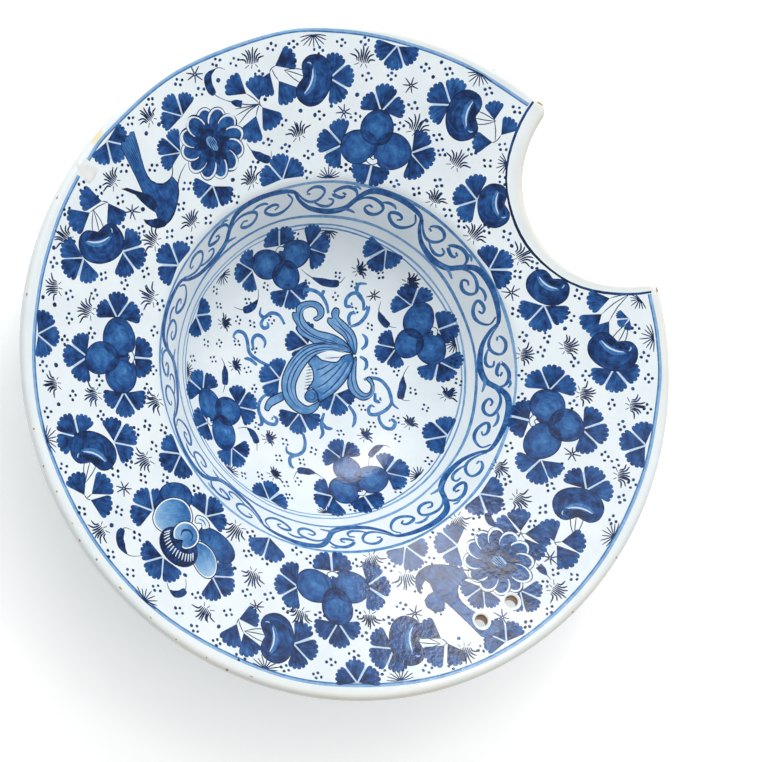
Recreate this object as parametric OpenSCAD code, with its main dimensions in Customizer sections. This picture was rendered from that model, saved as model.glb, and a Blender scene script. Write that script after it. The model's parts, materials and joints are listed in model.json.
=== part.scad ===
// Barber bowl: a tin-glazed earthenware shaving basin with a deep round well, a wide sloping ledge,
// a notch cut out of the ledge for the neck, and two holes for a hanging cord.
// The origin is the middle of the foot ring, on the table. +Z points up out of the well,
// +Y through the middle of the neck notch, and +X towards the pair of cord holes.

/* [Overall] */
// Diameter over the rim
rim_d = 260; // [245:1:280]
// Height from the table to the top of the rim
bowl_h = 65; // [63:0.5:75]
// Thickness of the fired clay
clay_t = 5; // [4:0.1:6]
// Thickness of the glaze coat
glaze_t = 0.4; // [0.3:0.05:0.6]

/* [Well] */
// Diameter of the well at its mouth, before the edge is softened
mouth_d = 146; // [140:1:152]
// Radius of the soft turn under the mouth's edge
mouth_under_round = 2.2; // [1:0.1:5]
// Slope of the well's wall, in degrees
wall_slope = 52; // [48:0.5:54]
// Diameter where the wall runs into the rounded floor
wall_foot_d = 122; // [118:1:126]
// Height of the floor's middle above the table
floor_h = 11.7; // [10:0.1:13]

/* [Ledge] */
// Slope of the ledge, rising outwards, in degrees
ledge_slope = 19; // [16:0.5:20]

/* [Foot ring] */
// Outside diameter of the foot ring
foot_d = 88; // [78:1:96]
// Width of the foot ring
foot_w = 7; // [5:0.5:9]
// Worn-off corner on each side of the foot's resting face
foot_chamfer = 0.8; // [0.4:0.1:1.4]
// Height of the foot that is wiped bare of glaze
foot_bare = 2; // [1.5:0.25:3]

/* [Neck notch] */
// Radius of the finished notch
notch_r = 41.5; // [36:0.5:44]
// Distance of the notch's centre outside the rim
notch_out = 7.5; // [4:0.5:12]
// Width of the smoothed and glazed edge along the notch
notch_edge_w = 3.5; // [2:0.25:5]

/* [Cord holes] */
// Diameter of each hole
hole_d = 5.2; // [4:0.1:7]
// Distance between the two holes' centres
hole_spacing = 14.5; // [11:0.5:20]
// Distance of the holes' centres in from the rim
hole_inset = 18.5; // [12:0.5:26]
// Angle of the pair's middle from +X, in degrees
hole_angle = -2.7; // [-10:0.1:10]

/* [Rim fill] */
// Angle of the filled rim chip from +X, in degrees
fill_angle = -156; // [-170:1:-130]
// Radius of the scooped chip
fill_r = 7.5; // [6.5:0.25:8]
// Height of the scoop's centre above the rim
fill_lift = 4; // [3.5:0.25:5]
// Distance of the scoop's centre in from the rim
fill_inset = 3; // [1:0.5:6]

/* [Hidden] */
$fn = 240;

// Straight steps that stand for the floor's curve, the soft mouth edge and the rim's half-round
floor_steps = 20;
mouth_steps = 6;
lip_steps = 12;
// Cutters run this far past the faces that they cut
cut_past = 10;

clay_colour = "burlywood";
glaze_colour = "aliceblue";
painted_colour = "lightsteelblue";
fill_colour = "antiquewhite";

// Depths below the upper face at which one layer ends and the next begins
clay_top = glaze_t;
clay_bottom = glaze_t + clay_t;
body_t = clay_t + 2 * glaze_t;

rim_r = rim_d / 2;
mouth_r = mouth_d / 2;
wall_foot_r = wall_foot_d / 2;
foot_r = foot_d / 2;
foot_inner_r = foot_r - foot_w;
notch_y = rim_r + notch_out;
hole_ring_r = rim_r - hole_inset;
hole_half_angle = asin(hole_spacing / 2 / hole_ring_r);

// A point [radius, height] moved square into a surface that rises outwards at a slope
function moved_in(start, slope, depth) = start + depth * [sin(slope), -cos(slope)];

// The upper face, worked out from the rim inwards
lip_centre = [rim_r - body_t / 2, bowl_h - body_t / 2];
ledge_end = moved_in(lip_centre, ledge_slope, -body_t / 2);
mouth_corner = [mouth_r, ledge_end.y - (ledge_end.x - mouth_r) * tan(ledge_slope)];
wall_foot_z = mouth_corner.y - (mouth_r - wall_foot_r) * tan(wall_slope);
floor_rise = wall_foot_z - floor_h;
// How late the floor turns up, where 2 is an even dish: it meets the wall at the wall's own slope
floor_turn = tan(wall_slope) * wall_foot_r / floor_rise;

// The soft mouth edge turns from the wall's slope to the ledge's about one centre
mouth_turn = wall_slope - ledge_slope;
mouth_round = mouth_under_round + body_t;
mouth_centre = moved_in(mouth_corner, (wall_slope + ledge_slope) / 2, mouth_round / cos(mouth_turn / 2));

// Each line lists [radius, height, slope] along the upper face, from the middle outwards
floor_line = [for (i = [0 : floor_steps])
    let (u = i / floor_steps)
    [wall_foot_r * u, wall_foot_z - floor_rise * (1 - pow(u, floor_turn)),
        atan(tan(wall_slope) * pow(u, floor_turn - 1))]];
mouth_line = [for (i = [0 : mouth_steps])
    let (slope = wall_slope - mouth_turn * i / mouth_steps)
    let (place = moved_in(mouth_centre, slope, -mouth_round))
    [place.x, place.y, slope]];
well_line = concat(floor_line, mouth_line);
ledge_line = [mouth_line[mouth_steps], [ledge_end.x, ledge_end.y, ledge_slope]];
whole_line = concat(well_line, [ledge_line[1]]);

function layer(line, depth) = [for (s = line) moved_in([s.x, s.y], s.z, depth)];
function reversed(list) = [for (i = [len(list) - 1 : -1 : 0]) list[i]];
function between(points, low, high) = [for (p = points) if (p.x > low && p.x < high) p];
function at_radius(points, radius) = [radius, lookup(radius, points)];

// Half-round that closes the rim at one depth, from the top to the underside
function lip_arc(depth) = [for (i = [0 : lip_steps])
    moved_in(lip_centre, ledge_slope - 180 * i / lip_steps, depth - body_t / 2)];

// The underside of the clay and of the glaze that covers it
clay_under = layer(whole_line, clay_bottom);
glaze_under = layer(whole_line, body_t);
foot_skirt_r = foot_r + glaze_t;
base_skirt_r = foot_inner_r - glaze_t;

// Section of one layer between two depths below the upper face
module coat(line, top, bottom) {
    polygon(concat(layer(line, top), reversed(layer(line, bottom))));
}

// Section of the ledge out to the rim's half-round, with its upper face at one depth
module ledge_section(depth) {
    polygon(concat([layer(ledge_line, depth)[0]], lip_arc(depth), [layer(ledge_line, body_t - depth)[0]]));
}

module notch_cut(radius) {
    translate([0, notch_y, -cut_past]) cylinder(r = radius, h = bowl_h + 2 * cut_past);
}

// The two holes stand square to the ledge
module cord_holes() {
    hole_top = ledge_end.y - (ledge_end.x - hole_ring_r) * tan(ledge_slope);
    for (side = [-1, 1])
        rotate(hole_angle + side * hole_half_angle)
            translate([hole_ring_r, 0, hole_top])
                rotate([0, -ledge_slope, 0])
                    cylinder(d = hole_d, h = 2 * (body_t + cut_past), center = true);
}

// The scooped chip in the rim that the fill makes good
module rim_chip() {
    rotate(fill_angle) translate([rim_r - fill_inset, 0, bowl_h + fill_lift]) sphere(r = fill_r);
}

// A layer of the ledge, cut by the notch, the holes and the chip
module ledge_layer() {
    difference() {
        rotate_extrude() children();
        notch_cut(notch_r + notch_edge_w);
        cord_holes();
        rim_chip();
    }
}

// Thrown clay basin
module well() {
    color(clay_colour) rotate_extrude() coat(well_line, clay_top, clay_bottom);
}

// Wide clay ledge round the well
module ledge() {
    color(clay_colour) ledge_layer() ledge_section(clay_top);
}

// Clay ring that the bowl stands on
module foot_ring() {
    color(clay_colour)
        rotate_extrude()
            polygon(concat(
                [[foot_inner_r, foot_chamfer], [foot_inner_r + foot_chamfer, 0]],
                [[foot_r - foot_chamfer, 0], [foot_r, foot_chamfer]],
                [at_radius(clay_under, foot_r)],
                reversed(between(clay_under, foot_inner_r, foot_r)),
                [at_radius(clay_under, foot_inner_r)]));
}

// Painted glaze inside the well
module well_glaze() {
    color(painted_colour) rotate_extrude() coat(well_line, 0, clay_top);
}

// Painted glaze on top of the ledge
module ledge_glaze() {
    color(painted_colour) ledge_layer() coat(ledge_line, 0, clay_top);
}

// Plain glaze round the rim's half-round edge
module lip_glaze() {
    color(glaze_colour) ledge_layer() polygon(concat(lip_arc(0), reversed(lip_arc(clay_top))));
}

// Smoothed edge of the neck notch, glazed all round
module notch_edge() {
    color(glaze_colour)
        intersection() {
            rotate_extrude() ledge_section(0);
            difference() {
                notch_cut(notch_r + notch_edge_w);
                notch_cut(notch_r);
            }
        }
}

// Plain glaze on the back, down the outside of the foot
module back_glaze() {
    color(glaze_colour)
        ledge_layer()
            polygon(concat(
                [[foot_r, foot_bare], at_radius(clay_under, foot_r)],
                between(clay_under, foot_r, rim_r),
                reversed(between(glaze_under, foot_skirt_r, rim_r)),
                [at_radius(glaze_under, foot_skirt_r), [foot_skirt_r, foot_bare]]));
}

// Plain glaze under the well, down the inside of the foot
module base_glaze() {
    color(glaze_colour)
        rotate_extrude()
            polygon(concat(
                [clay_under[0]],
                between(clay_under, 0, foot_inner_r),
                [at_radius(clay_under, foot_inner_r), [foot_inner_r, foot_bare]],
                [[base_skirt_r, foot_bare], at_radius(glaze_under, base_skirt_r)],
                reversed(between(glaze_under, 0, base_skirt_r)),
                [glaze_under[0]]));
}

// Fill of the old chip in the rim
module rim_fill() {
    color(fill_colour)
        intersection() {
            rotate_extrude() ledge_section(0);
            rim_chip();
        }
}

well();
ledge();
foot_ring();
well_glaze();
ledge_glaze();
lip_glaze();
notch_edge();
back_glaze();
base_glaze();
rim_fill();
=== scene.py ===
# %% [markdown]
# # A painted barber bowl
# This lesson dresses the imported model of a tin-glazed earthenware barber bowl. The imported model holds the
# clay, its sizes and its cord holes. Here the bowl gets its rounded edges, its blue painting, its plain
# back and its wear. Lengths are millimetres until a mesh is made, because that is how the bowl was
# measured.

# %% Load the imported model
import bisect
import bpy
import json
import math
import random
from mathutils import Matrix, Vector, geometry

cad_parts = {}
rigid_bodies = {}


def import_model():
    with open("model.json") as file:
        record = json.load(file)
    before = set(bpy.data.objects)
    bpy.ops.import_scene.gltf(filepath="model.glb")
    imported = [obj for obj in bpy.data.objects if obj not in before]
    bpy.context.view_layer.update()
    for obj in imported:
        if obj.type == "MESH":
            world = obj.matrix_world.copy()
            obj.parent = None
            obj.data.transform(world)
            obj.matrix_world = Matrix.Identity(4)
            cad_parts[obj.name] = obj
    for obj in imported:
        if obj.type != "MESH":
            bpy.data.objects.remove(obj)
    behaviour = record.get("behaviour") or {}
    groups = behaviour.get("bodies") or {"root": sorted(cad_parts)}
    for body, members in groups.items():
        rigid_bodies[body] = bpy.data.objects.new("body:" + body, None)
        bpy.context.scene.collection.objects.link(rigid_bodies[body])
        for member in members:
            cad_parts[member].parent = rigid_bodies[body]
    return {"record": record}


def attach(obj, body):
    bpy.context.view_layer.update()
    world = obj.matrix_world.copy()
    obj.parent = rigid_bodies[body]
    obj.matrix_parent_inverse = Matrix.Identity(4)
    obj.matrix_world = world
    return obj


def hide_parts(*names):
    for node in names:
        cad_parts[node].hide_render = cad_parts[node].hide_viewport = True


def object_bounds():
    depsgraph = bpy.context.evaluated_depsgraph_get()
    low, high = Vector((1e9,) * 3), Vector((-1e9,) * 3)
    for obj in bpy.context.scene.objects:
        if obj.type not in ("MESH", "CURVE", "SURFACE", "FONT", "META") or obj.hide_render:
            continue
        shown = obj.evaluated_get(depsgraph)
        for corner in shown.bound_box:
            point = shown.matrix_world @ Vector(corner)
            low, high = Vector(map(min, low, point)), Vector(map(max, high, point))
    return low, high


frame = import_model()
bpy.ops.object.select_all(action="DESELECT")
cad_box = [list(corner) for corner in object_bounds()]
MM = 0.001
print("CAD box in metres", cad_box)

# %% [markdown]
# ## The shape of the thrown bowl
# A potter throws the bowl as one turned shape, so its upper face is a height that depends on the radius
# alone: a rounded floor, a straight wall, a soft edge at the mouth and a ledge that rises to the rim. A
# drawn section could be spun instead, but a height that is known at any point also places the painting.
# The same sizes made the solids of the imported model, so what is built on them here follows those solids.

# %% Sizes of the bowl
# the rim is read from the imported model's box, and the other sizes repeat the named sizes that made it
RIM_R = round(cad_box[1][0] / MM, 1)
RIM_TOP = round(cad_box[1][2] / MM, 1)
BODY_T = 5.8
LEDGE_SLOPE = math.radians(19.0)
WALL_SLOPE = math.radians(52.0)
MOUTH_R = 73.0
MOUTH_ROUND = 8.0
WALL_FOOT_R = 61.0
FLOOR_H = 11.7

LEDGE_RISE = math.tan(LEDGE_SLOPE)
WALL_RISE = math.tan(WALL_SLOPE)
EDGE_ROUND = BODY_T / 2
HALF_T = EDGE_ROUND / math.cos(LEDGE_SLOPE)
ledge_end_r = RIM_R - EDGE_ROUND - EDGE_ROUND * math.sin(LEDGE_SLOPE)
ledge_end_z = RIM_TOP - EDGE_ROUND + EDGE_ROUND * math.cos(LEDGE_SLOPE)
mouth_z = ledge_end_z - (ledge_end_r - MOUTH_R) * LEDGE_RISE
wall_foot_z = mouth_z - (MOUTH_R - WALL_FOOT_R) * WALL_RISE
floor_rise = wall_foot_z - FLOOR_H
floor_turn = WALL_RISE * WALL_FOOT_R / floor_rise

# the mouth's edge is an arc that turns from the wall's slope to the ledge's
mouth_lean = (WALL_SLOPE + LEDGE_SLOPE) / 2
mouth_reach = MOUTH_ROUND / math.cos((WALL_SLOPE - LEDGE_SLOPE) / 2)
mouth_centre_r = MOUTH_R + mouth_reach * math.sin(mouth_lean)
mouth_centre_z = mouth_z - mouth_reach * math.cos(mouth_lean)
mouth_start = mouth_centre_r - MOUTH_ROUND * math.sin(WALL_SLOPE)
mouth_end = mouth_centre_r - MOUTH_ROUND * math.sin(LEDGE_SLOPE)
print("the wall starts at radius", WALL_FOOT_R, "and the ledge at", round(mouth_end, 2))


# %% Upper and lower face
def upper_face(radius):
    """Height of the upper face at a radius."""
    if radius < WALL_FOOT_R:
        return wall_foot_z - floor_rise * (1 - (radius / WALL_FOOT_R) ** floor_turn)
    if radius < mouth_start:
        return wall_foot_z + (radius - WALL_FOOT_R) * WALL_RISE
    if radius < mouth_end:
        return mouth_centre_z + math.sqrt(MOUTH_ROUND ** 2 - (mouth_centre_r - radius) ** 2)
    return ledge_end_z + (radius - ledge_end_r) * LEDGE_RISE


SLOPE_STEP = 0.01


def upper_slope(radius):
    """Rise of the upper face for each millimetre outwards."""
    inner = max(radius - SLOPE_STEP, 0.0)
    outer = radius + SLOPE_STEP
    return (upper_face(outer) - upper_face(inner)) / (outer - inner)


# the underside is kept as points one wall thickness square below the upper face, out past the rim
BACK_STEP = 0.25
BACK_REACH = 135.0
back_points = []
for step in range(round(BACK_REACH / BACK_STEP)):
    radius = step * BACK_STEP
    lean = math.atan(upper_slope(radius))
    back_points.append((radius + BODY_T * math.sin(lean), upper_face(radius) - BODY_T * math.cos(lean)))
back_radii = [point[0] for point in back_points]


def lower_face(radius):
    """Height of the underside at a radius."""
    after = min(max(bisect.bisect_right(back_radii, radius), 1), len(back_points) - 1)
    r0, z0 = back_points[after - 1]
    r1, z1 = back_points[after]
    return z0 + (z1 - z0) * (radius - r0) / (r1 - r0)


print("underside in the middle", round(lower_face(0.0), 2), "and at the mouth", round(lower_face(MOUTH_R), 2))

# %% [markdown]
# ## The outline with its neck notch
# Seen from above, the bowl is a disc with a round bite for the neck. The two horns beside the bite are worn
# round. A bevel could round a cut disc, but it would pinch at the horns. Instead, the distance from any
# point to this outline decides how far the rounded edge has dropped there, so one rule rounds the rim, the
# notch and the horns in one sweep.

# %% Distance to the outline
NOTCH_Y = 137.5
NOTCH_R = 41.5
HORN_ROUND = 5.0
horn_reach = RIM_R - HORN_ROUND
horn_y = (horn_reach ** 2 + NOTCH_Y ** 2 - (NOTCH_R + HORN_ROUND) ** 2) / (2 * NOTCH_Y)
horn_x = math.sqrt(horn_reach ** 2 - horn_y ** 2)


def edge_gap(x, y):
    """Distance from a point in plan to the outline, positive on the clay."""
    rim_gap = RIM_R - math.hypot(x, y)
    notch_gap = math.hypot(x, y - NOTCH_Y) - NOTCH_R
    to_rim = Vector((horn_x, horn_y)).normalized()
    to_notch = Vector((-horn_x, NOTCH_Y - horn_y)).normalized()
    offset = Vector((abs(x) - horn_x, y - horn_y))
    cross = to_rim.x * to_notch.y - to_rim.y * to_notch.x
    towards_rim = (offset.x * to_notch.y - offset.y * to_notch.x) / cross
    towards_notch = (to_rim.x * offset.y - to_rim.y * offset.x) / cross
    if towards_rim > 0 and towards_notch > 0:
        return HORN_ROUND - offset.length
    return min(rim_gap, notch_gap)


print("horn centres at", round(horn_x, 2), round(horn_y, 2))


# %% Points along the outline
def on_circle(radius, angle, cx=0.0, cy=0.0):
    """A point in plan at a radius and at an angle in degrees."""
    turned = math.radians(angle)
    return (cx + radius * math.cos(turned), cy + radius * math.sin(turned))


def arc(cx, cy, radius, start, end, steps):
    """Points along a circle in plan, between two angles in degrees."""
    return [on_circle(radius, start + (end - start) * i / steps, cx, cy) for i in range(steps + 1)]


RIM_STEPS = 220
NOTCH_STEPS = 60
HORN_STEPS = 14
horn_angle = math.degrees(math.atan2(horn_y, horn_x))
bite_angle = math.degrees(math.atan2(horn_y - NOTCH_Y, horn_x))


def outline(inset):
    """The bowl's outline in plan, anticlockwise, moved in from the edge."""
    horn_round = HORN_ROUND - inset
    rim = arc(0, 0, RIM_R - inset, 180 - horn_angle, 360 + horn_angle, RIM_STEPS)
    right_horn = arc(horn_x, horn_y, horn_round, horn_angle, bite_angle + 180, HORN_STEPS)
    bite = arc(0, NOTCH_Y, NOTCH_R + inset, bite_angle, -180 - bite_angle, NOTCH_STEPS)
    left_horn = arc(-horn_x, horn_y, horn_round, -bite_angle, 180 - horn_angle, HORN_STEPS)
    return rim[:-1] + right_horn[:-1] + bite[:-1] + left_horn[:-1]


print("the outline has", len(outline(0.0)), "points")

# %% [markdown]
# ## The cord holes and the height of the glazed front
# Each cord hole was bored before firing, square to the ledge, and the glaze rounds over its edge. A Boolean
# cut would leave a sharp edge there. So the front is kept as a height over the plan: the turned face, less
# the rounded edge, less the soft rim of the holes.

# %% Cord holes
# the glazed bore is a little narrower than the bored one, and its edge is soft out to the second radius
HOLE_R = 2.55
HOLE_SOFT_R = 3.5
HOLE_DROP = 0.32
holes = []
for mount in frame["record"]["mounts"]:
    if mount["kind"] == "bore":
        place = Vector(mount["pos_m"]) / MM + Vector(mount["axis"]) * BODY_T / 2
        holes.append((place.x, place.y))


def hole_distance(x, y, hole):
    """Distance from a hole's axis, measured on the sloping ledge."""
    out = Vector(hole).normalized()
    offset = Vector((x - hole[0], y - hole[1]))
    along = offset.dot(out) * math.sqrt(1 + LEDGE_RISE ** 2)
    return math.hypot(along, offset.x * out.y - offset.y * out.x)


def nearest_hole(x, y, middles):
    """Distance from the axis of the nearest hole."""
    return min(hole_distance(x, y, middle) for middle in middles)


print("cord holes at", [(round(x, 1), round(y, 1)) for x, y in holes])


# %% Height of the front and the back
def edge_drop(gap):
    """How far the rounded edge has dropped at a distance from the outline."""
    if gap >= EDGE_ROUND:
        return 0.0
    return HALF_T * (1 - math.sqrt(max(0.0, 1 - (1 - max(gap, 0.0) / EDGE_ROUND) ** 2)))


def front_height(x, y):
    """Height of the glazed front over a point in plan."""
    height = upper_face(math.hypot(x, y)) - edge_drop(edge_gap(x, y))
    for hole in holes:
        distance = hole_distance(x, y, hole)
        if distance < HOLE_SOFT_R:
            height -= HOLE_DROP * ((HOLE_SOFT_R - distance) / (HOLE_SOFT_R - HOLE_R)) ** 2
    return height


def back_height(x, y):
    """Height of the underside over a point in plan."""
    return lower_face(math.hypot(x, y)) + edge_drop(edge_gap(x, y))


NORMAL_STEP = 0.02


def surface_normal(height, x, y, side):
    """Normal of a height over the plan. Side is 1 for a face that looks up and -1 for one that looks down."""
    step = NORMAL_STEP
    gap = edge_gap(x, y)
    inward = Vector((edge_gap(x + step, y) - edge_gap(x - step, y),
                     edge_gap(x, y + step) - edge_gap(x, y - step))).normalized()
    if gap < step:
        return Vector((-inward.x, -inward.y, 0.0))
    if gap < 3 * step:
        x += inward.x * 2 * step
        y += inward.y * 2 * step
    rise_x = (height(x + step, y) - height(x - step, y)) / (2 * step)
    rise_y = (height(x, y + step) - height(x, y - step)) / (2 * step)
    return Vector((-rise_x * side, -rise_y * side, side)).normalized()


print("the front's middle is at height", round(front_height(0.0, 0.0), 2))

# %% [markdown]
# ## Painting as shapes in plan
# The blue was brushed on the raw white glaze, so each leaf, fruit and line has a clear outline and a colour
# that runs from thin to dense within it. An image could hold it, but shapes stay sharp from near by and
# need no file. So each brush mark is an outline in plan with a rule for its density, and the marks are kept
# in the order in which they were painted. Later, the front is cut along these outlines into triangles, and
# each corner remembers the density, which the glaze's material turns into blue.

# %% Places and marks
# one seeded source of chance, so that each run draws the same hand-made unevenness
RANDOM_SEED = 12
# each mark's streaks start somewhere else within this length of the noise
STREAK_SHIFT = 50
marks = []
chance = random.Random(RANDOM_SEED)


def spot(x, y, turn=0.0, size=1.0, flip=1):
    """A place to paint. It returns a rule that turns a motif's own millimetres into plan."""
    c = math.cos(math.radians(turn)) * size
    s = math.sin(math.radians(turn)) * size

    def to_plan(across, up):
        across *= flip
        return (x + across * c - up * s, y + across * s + up * c)
    return to_plan


def on_ledge(angle, radius, turn=0.0, size=1.0, flip=1):
    """A place on the ledge, with up towards the rim and across clockwise round the bowl."""
    x, y = on_circle(radius, angle)
    return spot(x, y, angle - 90 + turn, size, flip)


def lay(points, density, brush=None, wash=False):
    """Paint one outline. Density is a number, or a rule for each point in plan."""
    area = 0.0
    for (x0, y0), (x1, y1) in zip(points, points[1:] + points[:1]):
        area += x0 * y1 - x1 * y0
    if area < 0:
        points = points[::-1]
    marks.append((points, density, brush, wash, chance.random() * STREAK_SHIFT))


centre = spot(0.0, 0.0)
print("places and marks ready")


# %% Ovals and smooth paths
def ellipse(at, x, y, rx, ry, turn, steps, uneven=0.03):
    """Outline of a slightly uneven oval."""
    c = math.cos(math.radians(turn))
    s = math.sin(math.radians(turn))
    wobble = chance.random() * 6
    points = []
    for i in range(steps):
        a = 2 * math.pi * i / steps
        r = 1 + uneven * math.sin(2 * a + wobble) + uneven * 0.6 * math.sin(3 * a - wobble)
        px = rx * r * math.cos(a)
        py = ry * r * math.sin(a)
        points.append(at(x + px * c - py * s, y + px * s + py * c))
    return points


def smooth(points, steps):
    """A smooth path through a few points."""
    path = []
    count = len(points)
    for i in range(count - 1):
        p0 = Vector(points[max(i - 1, 0)])
        p1 = Vector(points[i])
        p2 = Vector(points[i + 1])
        p3 = Vector(points[min(i + 2, count - 1)])
        for k in range(steps):
            t = k / steps
            path.append(0.5 * (2 * p1 + (p2 - p0) * t + (2 * p0 - 5 * p1 + 4 * p2 - p3) * t * t
                               + (3 * p1 - p0 - 3 * p2 + p3) * t ** 3))
    path.append(Vector(points[-1]))
    return path


print("ovals and smooth paths ready")

# %% Strokes
# share of a stroke over which it swells or thins
TAPER = 0.3


def stroke(at, points, width, density, steps=4, ends=(0.35, 0.35)):
    """One pull of the brush along a path, thinner towards its ends."""
    path = smooth(points, steps)
    last = len(path) - 1
    left = []
    right = []
    for i, p in enumerate(path):
        along = (path[min(i + 1, last)] - path[max(i - 1, 0)]).normalized()
        t = i / last
        swell = ends[0] + (1 - ends[0]) * t / TAPER
        fade = ends[1] + (1 - ends[1]) * (1 - t) / TAPER
        side = Vector((-along.y, along.x)) * width * min(1.0, swell, fade) / 2
        left.append(at(*(p + side)))
        right.append(at(*(p - side)))
    for i in range(last):
        lay([left[i], right[i], right[i + 1], left[i + 1]], density)


print("strokes ready")

# %% [markdown]
# ## Leaves, fruit and grass
# The painter used a small stock of forms over and over: leaves like fans in threes, dark round fruit in
# threes, kidney beans with a white gleam, tufts of grass, stars and diamonds of four dots. Each is one
# function here.


# %% Leaf
def leaf(at, x, y, heading, length, spread):
    """A fan-shaped leaf from its point, with a lobed outer edge. Heading 0 is up and 90 is across."""
    lobes = 5
    steps = lobes * 6
    dark = 0.95 + chance.uniform(-0.07, 0.03)
    length *= chance.uniform(0.94, 1.06)
    heading += chance.uniform(-2.5, 2.5)
    apex = at(x, y)
    tip = at(x + length * math.sin(math.radians(heading)), y + length * math.cos(math.radians(heading)))
    full = math.dist(tip, apex)
    middle = math.atan2(tip[1] - apex[1], tip[0] - apex[0])
    points = [apex]
    for i in range(steps + 1):
        t = i / steps
        h = math.radians(heading + spread * (t - 0.5))
        in_lobe = 2 * (t * lobes % 1.0) - 1
        notch = 0.085 * (1 - math.sqrt(1 - in_lobe ** 2))
        reach = length * (0.84 + 0.16 * math.sin(math.pi * t) ** 0.5) * (1 - notch)
        points.append(at(x + reach * math.sin(h), y + reach * math.cos(h)))

    def density(px, py):
        return dark - 0.16 * math.dist((px, py), apex) / full

    def brush(px, py):
        away = math.dist((px, py), apex)
        angle = math.atan2(py - apex[1], px - apex[0]) - middle
        angle = (angle + math.pi) % (2 * math.pi) - math.pi
        return (angle * 6.0, away * 0.16)
    lay(points, density, brush)


print("leaf ready")


# %% Fans and sprigs
def fan(at, x, y, heading, size=10.2, leaves=3, step=66.0):
    """Leaves round a point, with a thin blue bleed in the white veins between them."""
    half = step * (leaves - 1) / 2 + 18
    points = [at(x, y)]
    for i in range(9):
        h = math.radians(heading - half + half * i / 4)
        points.append(at(x + size * 0.72 * math.sin(h), y + size * 0.72 * math.cos(h)))
    lay(points, 0.16)
    vein = 0.6
    for i in range(leaves):
        h = heading + step * (i - (leaves - 1) / 2)
        length = size * (1.0 if leaves != 3 or i == 1 else 0.96)
        away = math.radians(h)
        leaf(at, x + vein * math.sin(away), y + vein * math.cos(away), h, length - vein, step * 0.99)


def sprig(hub, leaves, size):
    """Leaves on thin stems from one point. The point and the leaves' middles are angles and radii."""
    at = on_ledge(*hub)
    for angle, radius in leaves:
        across = math.radians(hub[0] - angle) * (radius + hub[1]) / 2
        up = radius - hub[1]
        away = math.hypot(across, up)
        heading = math.atan2(across, up)
        long = min(size, away + size * 0.42)
        start = max(away - long * 0.58, 0.3)
        bend = (start * 0.5 * math.sin(heading + 0.1), start * 0.5 * math.cos(heading + 0.1))
        foot = (start * math.sin(heading), start * math.cos(heading))
        stroke(at, [(0, 0), bend, foot], 0.4, 0.97, 2)
        leaf(at, *foot, math.degrees(heading), long, 74)


print("fans and sprigs ready")


# %% Closed outlines
def closed_curve(points):
    """A smooth closed outline through a few points."""
    steps = 3
    path = smooth(points[-2:] + points + points[:2], steps)
    return [tuple(p) for p in path[2 * steps:(len(points) + 2) * steps]]


def rim_of(at, points, width=0.42):
    """A thin dark line along a closed outline."""
    path = closed_curve(points)
    stroke(at, path + path[:1], width, 1.0, 1, (1.0, 1.0))


def oval(x, y, rx, ry, turn=0.0):
    """Points of an oval in a motif's own millimetres."""
    return ellipse(centre, x, y, rx, ry, turn, 14, 0.05)


print("closed outlines ready")


# %% Fruit
def fruit(at, points, density, pale=0.14, line=0.36):
    """A fruit or petal in a thin wash, paler in its middle, with a dark outline."""
    path = closed_curve(points)
    middle = (sum(p[0] for p in points) / len(points), sum(p[1] for p in points) / len(points))
    heart = at(*middle)
    reach = max(math.dist(at(*p), heart) for p in points)

    def tone(px, py):
        return density - pale * (1 - math.dist((px, py), heart) / reach)

    def brush(px, py):
        return (math.dist((px, py), heart) * 0.8, math.atan2(py - heart[1], px - heart[0]) * 0.7)
    lay([at(*p) for p in path], tone, brush, True)
    rim_of(at, points, line)


def blank(at, points):
    """Keep the glaze white under a fruit, so that only other fruit shows through it."""
    lay([at(*p) for p in closed_curve(points)], 0.0)


def trefoil(angle, radius, size=1.0, turn=0.0, wide=1.0, high=1.0, leaf_size=10.2):
    """Three round fruit with a fan of leaves at each, and two leaves under a small calyx."""
    at = on_ledge(angle, radius, turn, size)
    fan(at, 0.3, -8.8 * high, 180, leaf_size * 0.86, 2, 86)
    fan(at, -0.9 * wide, 10.6 * high, 0, leaf_size)
    fan(at, -13.2 * wide, -4.4 * high, -92, leaf_size)
    fan(at, 14.6 * wide, -2.0 * high, 92, leaf_size)
    lobes = []
    for x, y, rx, ry, tilt in ((-6.6, -3.6, 7.3, 6.4, 0), (7.2, -2.8, 7.8, 6.6, -12),
                               (-0.9, 4.6, 6.3, 6.9, 20)):
        lobes.append(oval(x * wide, y * high, rx * wide, ry * high, tilt))
    for lobe in lobes:
        blank(at, lobe)
    for lobe in lobes:
        fruit(at, lobe, 0.88, 0.3)
    calyx = [(-2.2, -8.0), (-1.2, -6.6), (0.2, -7.2), (1.6, -6.5), (2.4, -8.0), (0.2, -9.2)]
    lay([at(*p) for p in closed_curve(calyx)], 0.04)
    rim_of(at, calyx, 0.36)


print("fruit ready")


# %% Beans
BEAN = [(-9.0, -0.4), (-7.6, 3.8), (-4.6, 5.4), (-1.8, 4.7), (0.1, 3.9), (2.0, 4.8), (4.8, 5.6),
        (7.8, 3.8), (9.1, -0.4), (7.4, -4.4), (3.8, -6.5), (0.0, -7.0), (-3.8, -6.4), (-7.4, -4.2)]
BEAN_DENT = [(-4.4, 2.6), (-2.0, 4.3), (0.2, 3.4), (2.6, 4.2), (4.8, 2.8), (0.4, 1.4)]


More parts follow.
